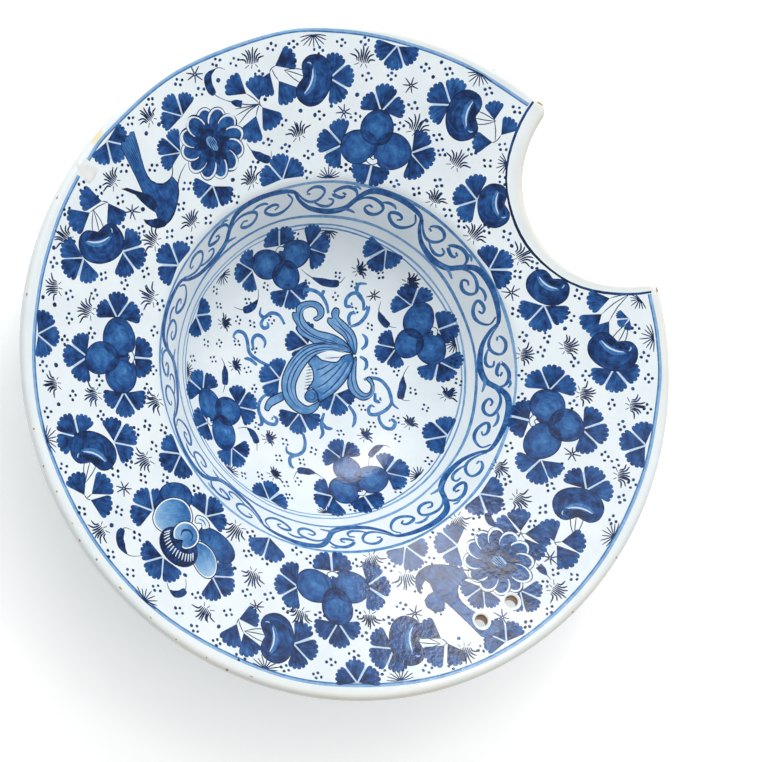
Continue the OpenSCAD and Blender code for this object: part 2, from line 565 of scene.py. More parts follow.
def bean(angle, radius, dent, fans, size=1.06, stalks=(-2.4, 0.4, 2.6)):
    """A kidney bean with a white gleam under the dent where its stalks join.

    The headings of the dent and of the fans are 0 outwards and 90 clockwise.
    """
    ledge = on_ledge(angle, radius)
    for away, heading in fans:
        h = math.radians(heading)
        fan(ledge, away * math.sin(h), away * math.cos(h), heading)
    at = on_ledge(angle, radius, -dent, size)
    for x in stalks:
        stroke(at, [(x, 3.2), (x * 0.7 + 0.4, 7.5), (0.6, 11.8)], 0.36, 0.97, 3)
    blank(at, BEAN)
    fruit(at, BEAN, 0.9, 0.1)
    lay([at(*p) for p in closed_curve(BEAN_DENT)], 0.97)
    stroke(at, [(-5.8, 1.7), (-2.6, 0.3), (0.8, 0.0), (4.6, 1.1)], 2.2, 0.62, 4, (0.2, 0.2))
    stroke(at, [(-5.2, 2.0), (-2.4, 0.8), (0.8, 0.5), (3.8, 1.2)], 0.6, 0.12, 4, (0.3, 0.3))
    stroke(at, [(5.2, 2.2), (5.5, 3.1), (5.3, 4.0)], 0.5, 0.3, 3)


print("beans ready")


# %% Grass and stars
def tuft(at, size=1.0):
    """A tuft of grass: thin blades that lean apart, over a few short strokes of ground."""
    blades = 8
    for i in range(blades):
        t = i / (blades - 1) - 0.5
        tall = (6.2 - 14.0 * t * t) * size * chance.uniform(0.8, 1.12)
        foot = t * 4.6 * size
        tip = t * 10.8 * size + chance.uniform(-0.6, 0.6)
        stroke(at, [(foot, -1.8 + abs(t)), (foot + (tip - foot) * 0.2, tall * 0.52 - 1.1), (tip, tall - 1.9)],
               0.66, 0.98, 3, (0.4, 0.5))
    for i in range(3):
        x = (i - 1) * 2.2 * size
        stroke(at, [(x * 0.6, -1.9), (x * 1.2 - 0.4, -3.4 + 0.4 * abs(i - 1))], 0.56, 0.96, 1, (0.6, 0.5))


def spray(at, size=1.0):
    """Half a tuft that hangs from a painted line, its blades spread to both sides."""
    blades = 9
    for i in range(blades):
        h = math.radians(-80 + 160 * i / (blades - 1))
        long = (6.0 - 1.0 * abs(math.sin(h))) * size * chance.uniform(0.85, 1.1)
        mid = (math.sin(h) * long * 0.55, math.cos(h) * long * 0.45 - 0.2)
        tip = (math.sin(h) * long * 1.15, math.cos(h) * long * 0.85)
        stroke(at, [(0, 0), mid, tip], 0.46, 0.96, 2, (0.5, 0.6))


def star(at, size=1.0):
    """Seven short strokes from one point."""
    strokes = 7
    for i in range(strokes):
        h = math.radians(i * 360 / strokes + chance.uniform(-8, 8))
        long = 3.4 * size * chance.uniform(0.75, 1.1)
        start = (0.2 * math.sin(h), 0.2 * math.cos(h))
        tip = (long * math.sin(h), long * math.cos(h))
        stroke(at, [start, tip], 0.55, 0.97, 2, (1.0, 0.6))


print("grass and stars ready")


# %% Dots and buds
def dot(at, x, y, r=0.64):
    """One touch of the brush's tip."""
    rx = r * chance.uniform(0.85, 1.2)
    ry = r * chance.uniform(0.85, 1.1)
    lay(ellipse(at, x, y, rx, ry, 0, 7, 0.06), chance.uniform(0.82, 0.98))


def four_dots(at):
    """A diamond of four dots."""
    for x, y in ((-1.7, 0), (0, 1.25), (1.7, 0), (0, -1.25)):
        dot(at, x + chance.uniform(-0.25, 0.25), y + chance.uniform(-0.25, 0.25))


def pod(at, path, fat):
    """A narrow bud on a hooked stem."""
    stroke(at, path, 0.42, 0.97)
    middle = smooth(path, 4)
    count = len(middle)
    body = [tuple(p) for p in middle[count // 4: count * 3 // 4 + 1]]
    stroke(at, body[::2] + body[-1:], fat * 2, 0.9, 3, (0.1, 0.1))


print("dots and buds ready")

# %% [markdown]
# ## The painted lines and the scroll border
# Five thin rings were painted on the turning wheel, so they waver a little and thin out where the brush ran
# dry. A perfect circle would look printed, so each is laid down in short steps. Between two of them, on the
# wall of the well, runs a wave of eight scrolls with pairs of curls.


# %% Rings
# degrees times millimetres in one straight step of a ring, which makes the step about 4.5 mm long
RING_STEP = 260


def ring(radius, width, density, start, end, cx, cy):
    """A hand-painted line round a middle, between two angles."""
    steps = max(4, round((end - start) * radius / RING_STEP))
    phase = chance.random() * 6
    points = []
    for i in range(steps + 1):
        angle = start + (end - start) * i / steps
        a = math.radians(angle)
        waver = 0.16 * math.sin(a * 5 + phase) + 0.1 * math.sin(a * 11 - phase)
        thick = width * (1 + 0.16 * math.sin(a * 7 + 2 * phase)) / 2
        inner = on_circle(radius + waver - thick, angle, cx, cy)
        outer = on_circle(radius + waver + thick, angle, cx, cy)
        points.append((inner, outer, density * (1 + 0.16 * math.sin(a * 3 + phase))))
    for (in0, out0, tone), (in1, out1, _) in zip(points, points[1:]):
        lay([in0, out0, out1, in1], tone)


print("rings ready")

# %% Scroll border
# angles at which one wave of the scroll ends and the next begins, and one factor for its strokes' widths
SCROLL_STARTS = [116, 72.5, 29.5, -14.5, -59.5, -104.5, -150, -199.5, -244]
SCROLL_WIDTH = 1.3
# strokes of one wave: width, density, then how far round the wave each point is, and its radius
SCROLL = [
    # the wave: down along the inner ring, then over along the outer ring
    (1.45, 0.72, [(0, 69.6), (0.04, 66.8), (0.12, 64.0), (0.2, 62.8), (0.29, 62.3), (0.37, 62.7),
                  (0.44, 64.0), (0.48, 66.2), (0.52, 68.6), (0.57, 70.4), (0.65, 71.2), (0.75, 71.3),
                  (0.85, 70.9), (0.94, 70.3), (1.0, 69.4), (1.03, 67.6)]),
    # the curl and the hook that fill the left of the hollow
    (0.8, 0.62, [(0.02, 69.2), (0.06, 67.3), (0.12, 65.7), (0.18, 65.6), (0.225, 67.0), (0.235, 68.8),
                 (0.2, 70.0), (0.15, 70.2), (0.11, 69.4), (0.10, 68.4), (0.13, 68.0)]),
    (0.75, 0.62, [(0.17, 65.4), (0.22, 64.3), (0.28, 63.9), (0.32, 64.7), (0.32, 66.0), (0.28, 66.4)]),
    # the curl that fills the right of the hollow
    (0.9, 0.66, [(0.46, 64.8), (0.49, 67.2), (0.48, 69.2), (0.44, 70.3), (0.385, 70.4), (0.33, 69.4),
                 (0.305, 68.1), (0.34, 67.2), (0.385, 67.0), (0.405, 67.9), (0.375, 68.5)]),
    # the curl and the hook that fill the left of the hill
    (0.85, 0.64, [(0.5, 66.6), (0.55, 68.1), (0.61, 68.6), (0.68, 68.0), (0.72, 66.7), (0.71, 65.0),
                  (0.67, 64.0), (0.62, 64.1), (0.585, 65.2), (0.61, 66.3), (0.645, 65.9)]),
    (0.7, 0.6, [(0.68, 68.1), (0.73, 68.8), (0.78, 68.7), (0.81, 68.0)]),
    # the curl that fills the right of the hill
    (0.85, 0.64, [(0.95, 69.3), (0.99, 67.2), (0.965, 65.0), (0.91, 63.7), (0.85, 63.8), (0.8, 65.0),
                  (0.785, 66.3), (0.82, 67.0), (0.865, 67.0), (0.89, 66.1), (0.86, 65.3)]),
    # a short tail under the crossing, and a tick above it
    (0.7, 0.55, [(0.36, 62.9), (0.45, 63.6), (0.53, 63.0)]),
    (0.6, 0.55, [(0.43, 70.6), (0.47, 70.9), (0.5, 70.3)]),
]


def scroll_border():
    """Paint each wave of the scroll with the same strokes."""
    for first, second in zip(SCROLL_STARTS, SCROLL_STARTS[1:]):
        for width, density, path in SCROLL:
            points = [on_circle(radius, first + (second - first) * t) for t, radius in path]
            stroke(centre, points, width * SCROLL_WIDTH, density, 4, (0.5, 0.5))


print("the scroll has", len(SCROLL), "strokes in each of", len(SCROLL_STARTS) - 1, "waves")

# %% Painted lines
# the line along the rim wanders: angles and radii from horn to horn, with a break at the filled chip
RIM_LINE_BEFORE = [(111.2, 125.2), (124, 125.2), (137, 125.4), (149, 126.5), (161, 127.2), (180, 127.0),
                   (196, 126.4), (202.4, 125.9)]
RIM_LINE_AFTER = [(205.6, 125.7), (214, 125.0), (226, 124.4), (240, 124.8), (254, 124.7), (272, 124.4),
                  (290, 124.2), (310, 124.0), (326, 123.9), (343, 124.8), (360, 124.8), (378, 124.6),
                  (396, 124.6), (412, 125.1), (422, 125.4), (430.0, 125.3)]
# it was drawn twice, broad and pale, then thin and darker: distance outwards, width and density
RIM_LINE_COATS = [(0.35, 1.25, 0.36), (-0.25, 0.6, 0.6)]
for places in (RIM_LINE_BEFORE, RIM_LINE_AFTER):
    for outwards, width, density in RIM_LINE_COATS:
        path = [on_circle(radius + outwards, angle) for angle, radius in places]
        stroke(centre, path, width, density, 8, (0.9, 0.9))

# rings at the mouth and on the wall: radius, width, density, and how far off the middle each was turned
RINGS = [(72.2, 0.95, 0.45, 0.5, -0.2), (61.2, 0.8, 0.48, 0.2, -0.1), (58.1, 0.6, 0.4, 0.1, 0.0),
         (56.8, 0.5, 0.44, 0.1, 0.0)]
for radius, width, density, cx, cy in RINGS:
    ring(radius, width, density, 0, 360, cx, cy)
scroll_border()
print("rings and scrolls:", len(marks), "marks")

# %% [markdown]
# ## The flowers and the birds
# On the ledge there are two daisies, a large peony and two birds that face the daisies. Most petals are
# outlined first and then filled, with a white line left between. Each form is a function of its place, so
# the two daisies and the two birds share their strokes.


# %% Daisy
def daisy(angle, radius):
    """Broad petals with a white margin, round a dark ring with streaks and a striped core."""
    at = on_ledge(angle, radius)
    heart = at(0, 0)
    petals = 12

    def brush(px, py):
        return (math.atan2(py - heart[1], px - heart[0]) * 7, math.dist((px, py), heart) * 0.15)
    for i in range(petals):
        h = 360 * i / petals + 10
        x = math.sin(math.radians(h))
        y = math.cos(math.radians(h))
        tone = chance.uniform(0.74, 0.84)
        lay(ellipse(at, x * 9.0, y * 9.0, 3.9, 4.8, -h, 18), 0.98)
        lay(ellipse(at, x * 9.0, y * 9.0, 3.55, 4.45, -h, 18), 0.04)
        lay(ellipse(at, x * 8.3, y * 8.3, 3.0, 4.35, -h, 16), tone, brush)
    for i in range(petals):
        h = math.radians(360 * i / petals + 10 + chance.uniform(-4, 4))
        long = chance.uniform(7.6, 9.4)
        start = (3 * math.sin(h), 3 * math.cos(h))
        tip = (long * math.sin(h), long * math.cos(h))
        stroke(at, [start, tip], 2.4, 0.92, 3, (1.0, 0.15))
    lay(ellipse(at, 0, 0, 5.4, 5.6, 0, 24, 0.08), 0.96)
    lay(ellipse(at, 0, 0, 1.9, 2.9, 20, 16, 0.1), 0.46)
    for i in range(4):
        x = -1.4 + 0.9 * i
        stroke(at, [(x + 0.4, -2.8), (x * 0.6, 2.6)], 0.5, 0.95, 2)


print("daisy ready")


# %% Petals with a margin
def margined(at, points, dark, light, shrink):
    """A petal with a dark outline, a white margin and a wash that fades from its left end to its right."""
    blank(at, points)
    rim_of(at, points)
    cx = sum(p[0] for p in points) / len(points)
    cy = sum(p[1] for p in points) / len(points)
    inner = [(cx + (x - cx) * shrink, cy + (y - cy) * shrink) for x, y in points]
    start = at(*inner[0])
    end = at(*inner[len(inner) // 2])
    along = Vector((end[0] - start[0], end[1] - start[1]))

    def place(px, py):
        offset = Vector((px - start[0], py - start[1]))
        return (offset.dot(along) / along.length, (offset.x * along.y - offset.y * along.x) / along.length)

    def tone(px, py):
        return dark + (light - dark) * min(max(place(px, py)[0] / along.length, 0.0), 1.0)

    def brush(px, py):
        t, across = place(px, py)
        return (across * 1.1, t * 0.16)
    lay([at(*p) for p in closed_curve(inner)], tone, brush)


print("petals with a margin ready")


# %% Peony
def peony(angle, radius):
    """Pale and dark petals round a curled heart, with a dark crown of white strokes."""
    at = on_ledge(angle, radius)
    fan(at, 1.6, 13.0, 0)
    fan(at, 15.6, 2.4, 96)
    fan(at, -17.2, 4.6, -100)
    fan(at, -1.0, -11.6, 180, 9.6)
    back_left = oval(-11.2, -6.2, 9.0, 4.5)
    back_right = oval(12.6, -9.0, 7.0, 5.0, 40)
    for petal in (back_left, back_right):
        blank(at, petal)
        fruit(at, petal, 0.86, 0.2)
    margined(at, oval(8.6, -1.9, 8.8, 6.7, 54), 0.3, 0.74, 0.91)
    margined(at, oval(-10.8, 2.0, 7.3, 5.0, -31), 0.66, 0.26, 0.9)
    lay(ellipse(at, -0.4, 5.6, 8.6, 6.9, 0, 26, 0.0), 0.95)
    strokes = 15
    for i in range(strokes):
        h = math.radians(-76 + 152 * i / (strokes - 1))
        inner = (6.2 * math.sin(h), 2.0 + 4.7 * math.cos(h))
        outer = (7.8 * math.sin(h) - 0.3, 4.2 + 5.3 * math.cos(h))
        stroke(at, [inner, outer], 0.46, 0.05, 2, (1.0, 0.5))
    heart = [(-4.9, 1.2), (-3.0, 4.3), (-1.2, 4.6), (0.0, 2.4), (1.4, 3.6), (3.4, 4.2), (5.4, 1.4),
             (4.9, -2.8), (1.8, -5.4), (-2.4, -5.0), (-4.8, -2.4)]
    margined(at, heart, 0.66, 0.36, 0.86)
    stroke(at, [(-2.6, 0.4), (-1.8, -2.0), (0.6, -2.4), (2.2, -0.6), (1.6, 1.6)], 0.9, 0.9, 4, (0.3, 0.3))
    calyx = [(-4.8, -9.6), (-3.2, -6.8), (-1.4, -8.2), (0.6, -6.6), (1.8, -9.4), (-1.4, -11.0)]
    lay([at(*p) for p in closed_curve(calyx)], 0.04)
    rim_of(at, calyx, 0.38)
    stroke(at, [(-3.2, -8.8), (-1.4, -9.6), (0.6, -8.8)], 0.7, 0.55)


print("peony ready")

# %% Bird
# the bird's outline from its tail past the breast and the head, in its own millimetres
BIRD = [(2.1, 23.8), (3.6, 25.2), (4.8, 24.7), (6.3, 25.4), (7.7, 24.8), (9.0, 25.2), (10.2, 24.4),
        (7.7, 19.7), (5.4, 15.9), (3.3, 12.2), (2.3, 9.4), (2.1, 7.2), (3.0, 4.7), (4.8, 2.8), (7.1, 1.9),
        (9.4, 2.1), (9.2, -1.6), (6.5, -4.4), (3.6, -6.3), (0.6, -7.5), (-4.2, -8.3), (-6.5, -8.1),
        (-8.9, -6.6), (-10.4, -4.4), (-11.1, -1.6), (-10.8, -0.2), (-9.8, -1.6), (-8.0, -3.1),
        (-6.3, -4.1), (-5.2, -2.2)]
BIRD_HEAD = BIRD[20:29]
TAIL_SIDE = [(-1.5, 12.2), (0.3, 17.8)]
WING_ROOT = [(-1.6, 2.6), (-2.6, -0.6), (-5.0, -1.4)]
RAISED_WING = [(-6.0, 0.9), (-6.4, 4.7), (-6.3, 8.4), (-7.4, 10.9), (-8.8, 13.9), (-7.1, 12.5),
               (-5.4, 9.4), (-3.6, 6.7)]
FOLDED_WING = [(-5.6, 1.2), (-8.2, 1.5), (-10.6, 2.7), (-11.2, 5.0), (-9.8, 7.6), (-7.4, 9.2),
               (-5.2, 8.6), (-3.6, 6.4)]
BACK_LINE = [(2.2, 9.4), (2.0, 7.2), (3.0, 4.6), (5.0, 2.6), (9.4, 2.1), (13.0, 5.0), (17.5, 6.8)]
BREAST_LINE = [(-8.9, -6.6), (-4.2, -8.4), (0.6, -7.6), (6.5, -4.4), (9.2, -1.6), (13.0, 0.2), (17.0, 1.0)]


def bird(angle, radius, flip, wing, wing_tone):
    """A bird with one wing seen and a long striped tail, its head towards the daisy."""
    at = on_ledge(angle, radius, 0, 1.0, flip)
    tail = at(6.0, 25.0)
    breast = at(-2.0, -4.0)

    def density(px, py):
        return 0.86 - 0.2 * math.dist((px, py), breast) / math.dist(tail, breast)

    def brush(px, py):
        along = Vector((tail[0] - breast[0], tail[1] - breast[1])).normalized()
        away = Vector((px - breast[0], py - breast[1]))
        return ((away.x * along.y - away.y * along.x) * 1.3, away.dot(along) * 0.2)
    body = [at(x, y) for x, y in BIRD + wing + TAIL_SIDE]
    lay(body, density, brush)
    stroke(centre, body + body[:1], 0.36, 0.98, 1, (1.0, 1.0))
    lay([at(x, y) for x, y in wing + WING_ROOT], wing_tone, brush)
    lay([at(x, y) for x, y in BIRD_HEAD], 0.95)
    for i in range(7):
        x = 3.0 + 1.05 * i
        stroke(at, [(x, 24.6), (x * 0.62 - 1.2, 14.0)], 0.34, 0.95, 2)
    stroke(at, BACK_LINE, 0.45, 1.0)
    stroke(at, BREAST_LINE, 0.5, 1.0)


print("bird ready")

# %% [markdown]
# ## Where the painter put them
# Places are angles round the bowl and radii, with 90 degrees in the middle of the neck notch. They were
# read one motif at a time from a flat view of the painting that the fitted camera gives.

# %% Fruit and fans on the ledge
TREFOILS = [(42, 88.2), (-37.3, 89.6), (-122.8, 92.3), (-222.4, 88.6)]
for angle, radius in TREFOILS:
    trefoil(angle, radius)

RIM_FANS = [(42.1, 123.2), (-4.7, 123.0), (-34.0, 123.3), (-125.6, 123.5), (-162.4, 125.0), (-222.1, 124.2)]
for angle, radius in RIM_FANS:
    fan(on_ledge(angle, radius), 0, 0, 180, 9.8)
MOUTH_FANS = [(89.2, 73.2, 3), (15.0, 74.2, 3), (-14.0, 74.2, 3), (-57.3, 73.4, 2), (-94.0, 74.0, 3),
              (-152.3, 74.0, 3), (-195.3, 74.6, 3)]
for angle, radius, leaves in MOUTH_FANS:
    fan(on_ledge(angle, radius), 0, 0, 0, 10.0, leaves, 66)

# fans round the two daisies: angle, radius, heading, size, step between the leaves
LOOSE_FANS = [(-177.2, 112.4, -17, 9.6, 58), (-172.9, 101.9, -40, 10.4, 48),
              (-175.4, 84.6, -134, 9.4, 70), (3.9, 110.2, 3, 9.6, 58), (-1.9, 101.0, 62, 9.4, 56),
              (-0.6, 83.2, 130, 9.2, 74), (66.3, 116.4, 160, 5.4, 52)]
for angle, radius, heading, size, step in LOOSE_FANS:
    fan(on_ledge(angle, radius), 0, 0, heading, size, 3, step)
print("fruit and fans on the ledge:", len(marks), "marks so far")

# %% Sprigs and beans on the ledge
# leafy stalks beside the beans and the daisies: length of a leaf, where the stems meet, middle of each leaf
SPRIGS = [
    (9.0, (70.8, 118.0), [(71.2, 105.6), (67.3, 101.6), (64.8, 104.4)]),
    (9.6, (16.6, 107.0), [(19.5, 113.0), (15.4, 113.6), (18.4, 102.6)]),
    (9.6, (-14.9, 113.8), [(-14.6, 119.0), (-18.2, 116.4), (-17.3, 107.0)]),
    (9.6, (-58.3, 109.4), [(-54.6, 117.6), (-58.3, 117.0), (-56.3, 106.6)]),
    (9.6, (-95.6, 118.5), [(-92.9, 113.4), (-96.2, 110.2), (-98.9, 118.8)]),
    (9.6, (-153.9, 111.0), [(-147.6, 117.4), (-152.0, 118.0), (-152.6, 105.6)]),
    (9.6, (-197.6, 115.7), [(-195.6, 109.6), (-199.8, 105.4), (-201.0, 117.8)]),
    (7.6, (-248.0, 106.9), [(-243.7, 116.6), (-248.3, 114.8), (-245.6, 103.8)]),
    (9.6, (-193.7, 104.1), [(-189.4, 113.2), (-194.0, 110.8), (-195.4, 97.6), (-190.5, 95.6)]),
    (9.6, (13.5, 95.4), [(12.2, 103.0), (16.0, 101.0), (16.4, 91.0), (12.1, 89.4)]),
]
for size, hub, leaves in SPRIGS:
    sprig(hub, leaves, size)
# stalks from two of the sprigs to the daisies: angle, radius and side
DAISY_STALKS = [(-193.7, 104.1, 1), (13.5, 95.4, -1)]
for angle, radius, flip in DAISY_STALKS:
    stalk = on_ledge(angle, radius, 0, 1, flip)
    for rise in (3.4, 0.8, -1.6, -5.0):
        stroke(stalk, [(0, 0), (-5.0, rise * 0.3), (-10.4, rise)], 0.42, 0.97)

# beans: angle, radius, heading of the dent, then distance and heading of each fan
NOTCH_BEANS = [(102.3, 89.4, 36, [(7.2, -118)]), (77.7, 90.0, -40, [(7.2, 121)])]
LEDGE_BEANS = [
    (60.2, 108.5, -62, [(6.8, 90)]),
    (25.9, 107.3, 68, [(7.4, -92)]),
    (-22.3, 109.1, -76, [(6.8, 74)]),
    (-50.1, 111.0, 82, [(7.4, -90)]),
    (-103.0, 107.9, -55, [(7.6, 62), (9.4, 175)]),
    (-146.2, 106.0, 47, [(9.4, -64), (9.2, 172)]),
    (-206.0, 109.0, -72, [(6.8, 87)]),
    (-239.6, 109.1, 70, [(7.0, -84)]),
]
for angle, radius, dent, fans in NOTCH_BEANS:
    bean(angle, radius, dent, fans, 0.94, ())
for angle, radius, dent, fans in LEDGE_BEANS:
    bean(angle, radius, dent, fans)
print("sprigs and beans on the ledge:", len(marks), "marks so far")

# %% Flowers and birds on the ledge
daisy(-180.3, 97.9)
daisy(4.8, 97.0)
peony(-76.9, 93.6)
bird(-162.5, 95.0, 1, RAISED_WING, 0.98)
bird(-9.2, 92.8, -1, FOLDED_WING, 0.8)
print("large motifs on the ledge:", len(marks), "marks so far")

# %% Grass and stars on the ledge
LEDGE_TUFTS = [(87.8, 86), (100.3, 76.6), (49.2, 116.6), (35.3, 117.6), (50.7, 97.9), (62, 92.3),
               (61, 75.9), (25.2, 75.2), (20.2, 87.3), (9.2, 119.2), (-12.4, 119.2), (-17.6, 86),
               (4.1, 76), (-25.3, 76.4), (-29.5, 98.8), (-45.4, 99.4), (-65, 113.6), (-58.3, 91),
               (-67.3, 78), (-89.5, 120.4), (-97.1, 89.2), (-114.4, 101.9), (-110.7, 76.6), (-117, 118),
               (-134.4, 119), (-143.7, 120.4), (-132, 104.2), (-157.8, 114.4), (-140.1, 80),
               (-153.5, 88.2), (-171.3, 120.2), (-194.1, 120.5), (-164.7, 80.2), (-201.8, 90.8),
               (-186, 79), (-216.1, 117.4), (-231, 97.3), (-243.4, 92.9), (-243.9, 77.2)]
for angle, radius in LEDGE_TUFTS:
    tuft(on_ledge(angle, radius, chance.uniform(-14, 14)), chance.uniform(0.9, 1.08))

RIM_SPRAYS = [(62.1, 124.2), (24, 124), (-25.9, 123.4), (-51, 123.6), (-75.4, 125), (-107.6, 125.2),
              (-206.3, 125.6), (-238.2, 125.3)]
for angle, radius in RIM_SPRAYS:
    spray(on_ledge(angle, radius, 180))
# smaller sprays elsewhere: angle, radius and turn
SMALL_SPRAYS = [(107, 103.5, 150), (69.5, 121.6, 205), (-210, 73.0, 0)]
for angle, radius, turn in SMALL_SPRAYS:
    spray(on_ledge(angle, radius, turn), 0.8)

LEDGE_STARS = [(79.9, 76.6), (36.3, 97.6), (13.3, 109.4), (-2.5, 114.4), (-18.9, 99.7), (-55.5, 101.9),
               (-93.7, 102.6), (-155.7, 101), (-182.9, 123.4), (-226.7, 111.3), (-213.2, 97.3)]
for angle, radius in LEDGE_STARS:
    star(on_ledge(angle, radius))
print("grass and stars on the ledge:", len(marks), "marks so far")

# %% Dots on the ledge
# the middle of each diamond of four dots, as angle and radius
LEDGE_DOTS = [
    # from the notch clockwise to the cord holes
    (105.3, 98), (94.4, 85.7), (84, 88.8), (99.2, 81.3), (105.3, 75.7), (84, 81.6), (73.6, 99.8),
    (69.1, 94.8), (65.2, 84.8), (66.6, 76.3), (74, 75.4), (58.7, 120.4), (54.6, 121.6), (48.9, 121.6),
    (64.1, 118), (34.5, 122), (31.1, 120.4), (26.6, 120.7), (44.9, 112.9), (37.2, 113.8), (38.1, 109.4),
    (49, 108.2), (55, 98), (58.2, 94), (48, 94), (32.4, 95.4), (27, 94.8), (21.3, 96.6), (61.6, 82),
    (55, 74.4), (48, 75), (32.4, 75), (23, 79.8), (13.4, 120.7), (5.5, 122.7), (0.6, 121.6),
    (11.9, 114.1), (8.5, 114.4), (17.1, 96.3), (15.7, 83.5), (9.4, 79.1), (5.7, 83.2), (-4.4, 75.4),
    # from the cord holes clockwise past the peony
    (-9.4, 120.7), (-9.4, 82.9), (-15.8, 122.2), (-20.5, 121), (-13.5, 101.6), (-25.2, 100.1),
    (-21.2, 95.7), (-15.8, 91.6), (-20.9, 80.4), (-29.2, 119.1), (-34, 112.3), (-38.7, 115.9),
    (-41.4, 121.6), (-30.7, 105.5), (-41, 98.2), (-32.3, 96.6), (-48.5, 98.5), (-53.3, 96), (-58.5, 98.5),
    (-60.7, 109), (-67.8, 109.8), (-60.7, 121.6), (-65.3, 121.3), (-69.4, 119.1), (-55.8, 122.7),
    (-47.4, 121.3), (-56, 82.9), (-61.6, 83.8), (-30, 76.9), (-43.9, 77.1), (-48.3, 75), (-62.8, 76),
    (-75, 117.9), (-80.4, 121), (-85.1, 122.3), (-94, 122.6), (-102.1, 121.9), (-112.1, 121.9),
    (-90.4, 109.1), (-84.3, 109.1), (-114.6, 110.4), (-97.4, 102.9), (-109.8, 100.4), (-97.9, 95.9),
    (-93.5, 93.5), (-104.4, 88), (-90.4, 85.3), (-99, 83.2), (-83.2, 77.1), (-102.6, 76.3),
    (-114.6, 78.6), (-104.8, 82.6),
    # on past the left bird and daisy, back to the notch
    (-120.2, 121.3), (-125.2, 112.3), (-129.5, 111), (-133.9, 112.4), (-138.7, 121.3), (-148, 123.3),
    (-153.2, 122.7), (-154.4, 116), (-156, 107.3), (-127.5, 101.3), (-135.6, 102.6), (-140.1, 100.5),
    (-117.3, 98.5), (-140.4, 91.3), (-153.7, 94), (-145.5, 84.8), (-134.5, 82.9), (-157.7, 83.5),
    (-119.7, 75.3), (-131.1, 75.4), (-139, 74.8), (-160.3, 76), (-168.1, 123.5), (-173.1, 124),
    (-179.6, 124), (-187.4, 124), (-190.8, 121.6), (-198.4, 123.3), (-202.5, 122.9), (-194.9, 114.8),
    (-182.5, 116.8), (-161.3, 113.2), (-165.9, 104.8), (-198, 95.7), (-193.6, 89.6), (-198, 86),
    (-169.6, 90.9), (-165, 86.8), (-188.3, 83.5), (-203.9, 81.8), (-168.8, 75.7), (-179.4, 75.3),
    (-203, 75), (-207.3, 119.8), (-211.6, 122.7), (-215.9, 123.8), (-228.3, 119.1), (-232.8, 121),
    (-241.2, 121), (-247.6, 121.3), (-217.4, 111), (-222.4, 112.8), (-228.5, 104.4), (-226.9, 96),
    (-236.5, 97.3), (-207.3, 96), (-216.1, 95.7), (-245.1, 99.4), (-249.6, 99.1), (-250, 107.3),
    (-239, 92.9), (-242.3, 82.6), (-215.2, 76.9), (-231, 75.3), (-237.8, 75.9), (-249.4, 75.5),
]
for angle, radius in LEDGE_DOTS:
    four_dots(on_ledge(angle, radius, chance.uniform(-12, 12)))

LONE_DOTS = [
    (91.4, 85), (66.6, 92), (52.5, 115.7), (15.7, 105.8), (-3.5, 91), (-12.4, 113.8), (-14, 83.6),
    (-61.4, 115.7), (-43, 103.6), (-63.1, 91.8), (-72, 106.1), (-89, 115.1), (-113.2, 116.8),
    (-120.4, 116), (-131.4, 117.6), (-132.2, 122.7), (-141.1, 123), (-143.8, 116.3), (-149.5, 87.9),
    (-151.8, 100.8), (-157.7, 97.9), (-169.1, 116), (-172.2, 115.4), (-186.7, 117.6), (-202.8, 98.4),
    (-206.2, 96.3), (-181.1, 82.1), (-195.1, 105.1), (-230.9, 123), (-230.4, 116.9), (-215.8, 104),
    (-210.1, 99.4), (-232.5, 101.1),
]
LONE_DOT_R = 0.85
for angle, radius in LONE_DOTS:
    dot(on_ledge(angle, radius), 0, 0, LONE_DOT_R)
print("dots on the ledge:", len(marks), "marks so far")

# %% Buds on the ledge and the line along the notch
# buds: angle, radius, half their thickness, then the path of the stem
LEDGE_PODS = [
    (-84.6, 115.4, 1.6, [(-7.2, -3.0), (-4.0, 1.2), (0, 1.4), (3.8, -0.6), (5.0, -4.2), (2.6, -6.0)]),
    (-72.0, 113.6, 1.4, [(4.8, -1.0), (1.8, 1.2), (-1.6, 0.6), (-3.2, -2.8), (-1.0, -6.6)]),
    (-185.0, 116.6, 1.6, [(7.6, 3.4), (5.0, 5.2), (0.4, 4.0), (-0.8, 0), (0.6, -4.0), (4.6, -8.0)]),
    (-190.2, 87.6, 1.6, [(-3.2, 4.4), (-2.2, 1.2), (0.6, -2.2), (4.0, -4.4), (5.6, -1.6)]),
    (-188.7, 107.3, 1.3, [(-3.4, 2.2), (0, 0), (3.6, -2.0)]),
    (10.9, 83.5, 1.4, [(-2.6, 7.4), (-0.2, 4.0), (0.2, 0.4), (-1.6, -2.2), (-4.4, -3.2)]),
    (10.3, 110.4, 1.5, [(0.6, 4.6), (0, 0), (-0.4, -3.6)]),
]
for angle, radius, fat, path in LEDGE_PODS:
    pod(on_ledge(angle, radius), path, fat)

# the line along the notch, with a white band from it out past the notch's edge
NOTCH_LINE_X = -1.4
NOTCH_LINE_R = 47.8
NOTCH_LINE_W = 0.95
NOTCH_LINE_ENDS = (202.6, 337.2)
NOTCH_BAND_ENDS = (198.0, 342.5)
NOTCH_BAND_PAST = 2
NOTCH_BAND_STEPS = 40
notch_band = arc(NOTCH_LINE_X, NOTCH_Y, NOTCH_LINE_R, *NOTCH_BAND_ENDS, NOTCH_BAND_STEPS)
notch_band += arc(0, NOTCH_Y, NOTCH_R - NOTCH_BAND_PAST, *NOTCH_BAND_ENDS[::-1], NOTCH_BAND_STEPS)
lay(notch_band, 0.0)
ring(NOTCH_LINE_R, NOTCH_LINE_W, 1.0, *NOTCH_LINE_ENDS, NOTCH_LINE_X, NOTCH_Y)
print("the ledge is painted:", len(marks), "marks")


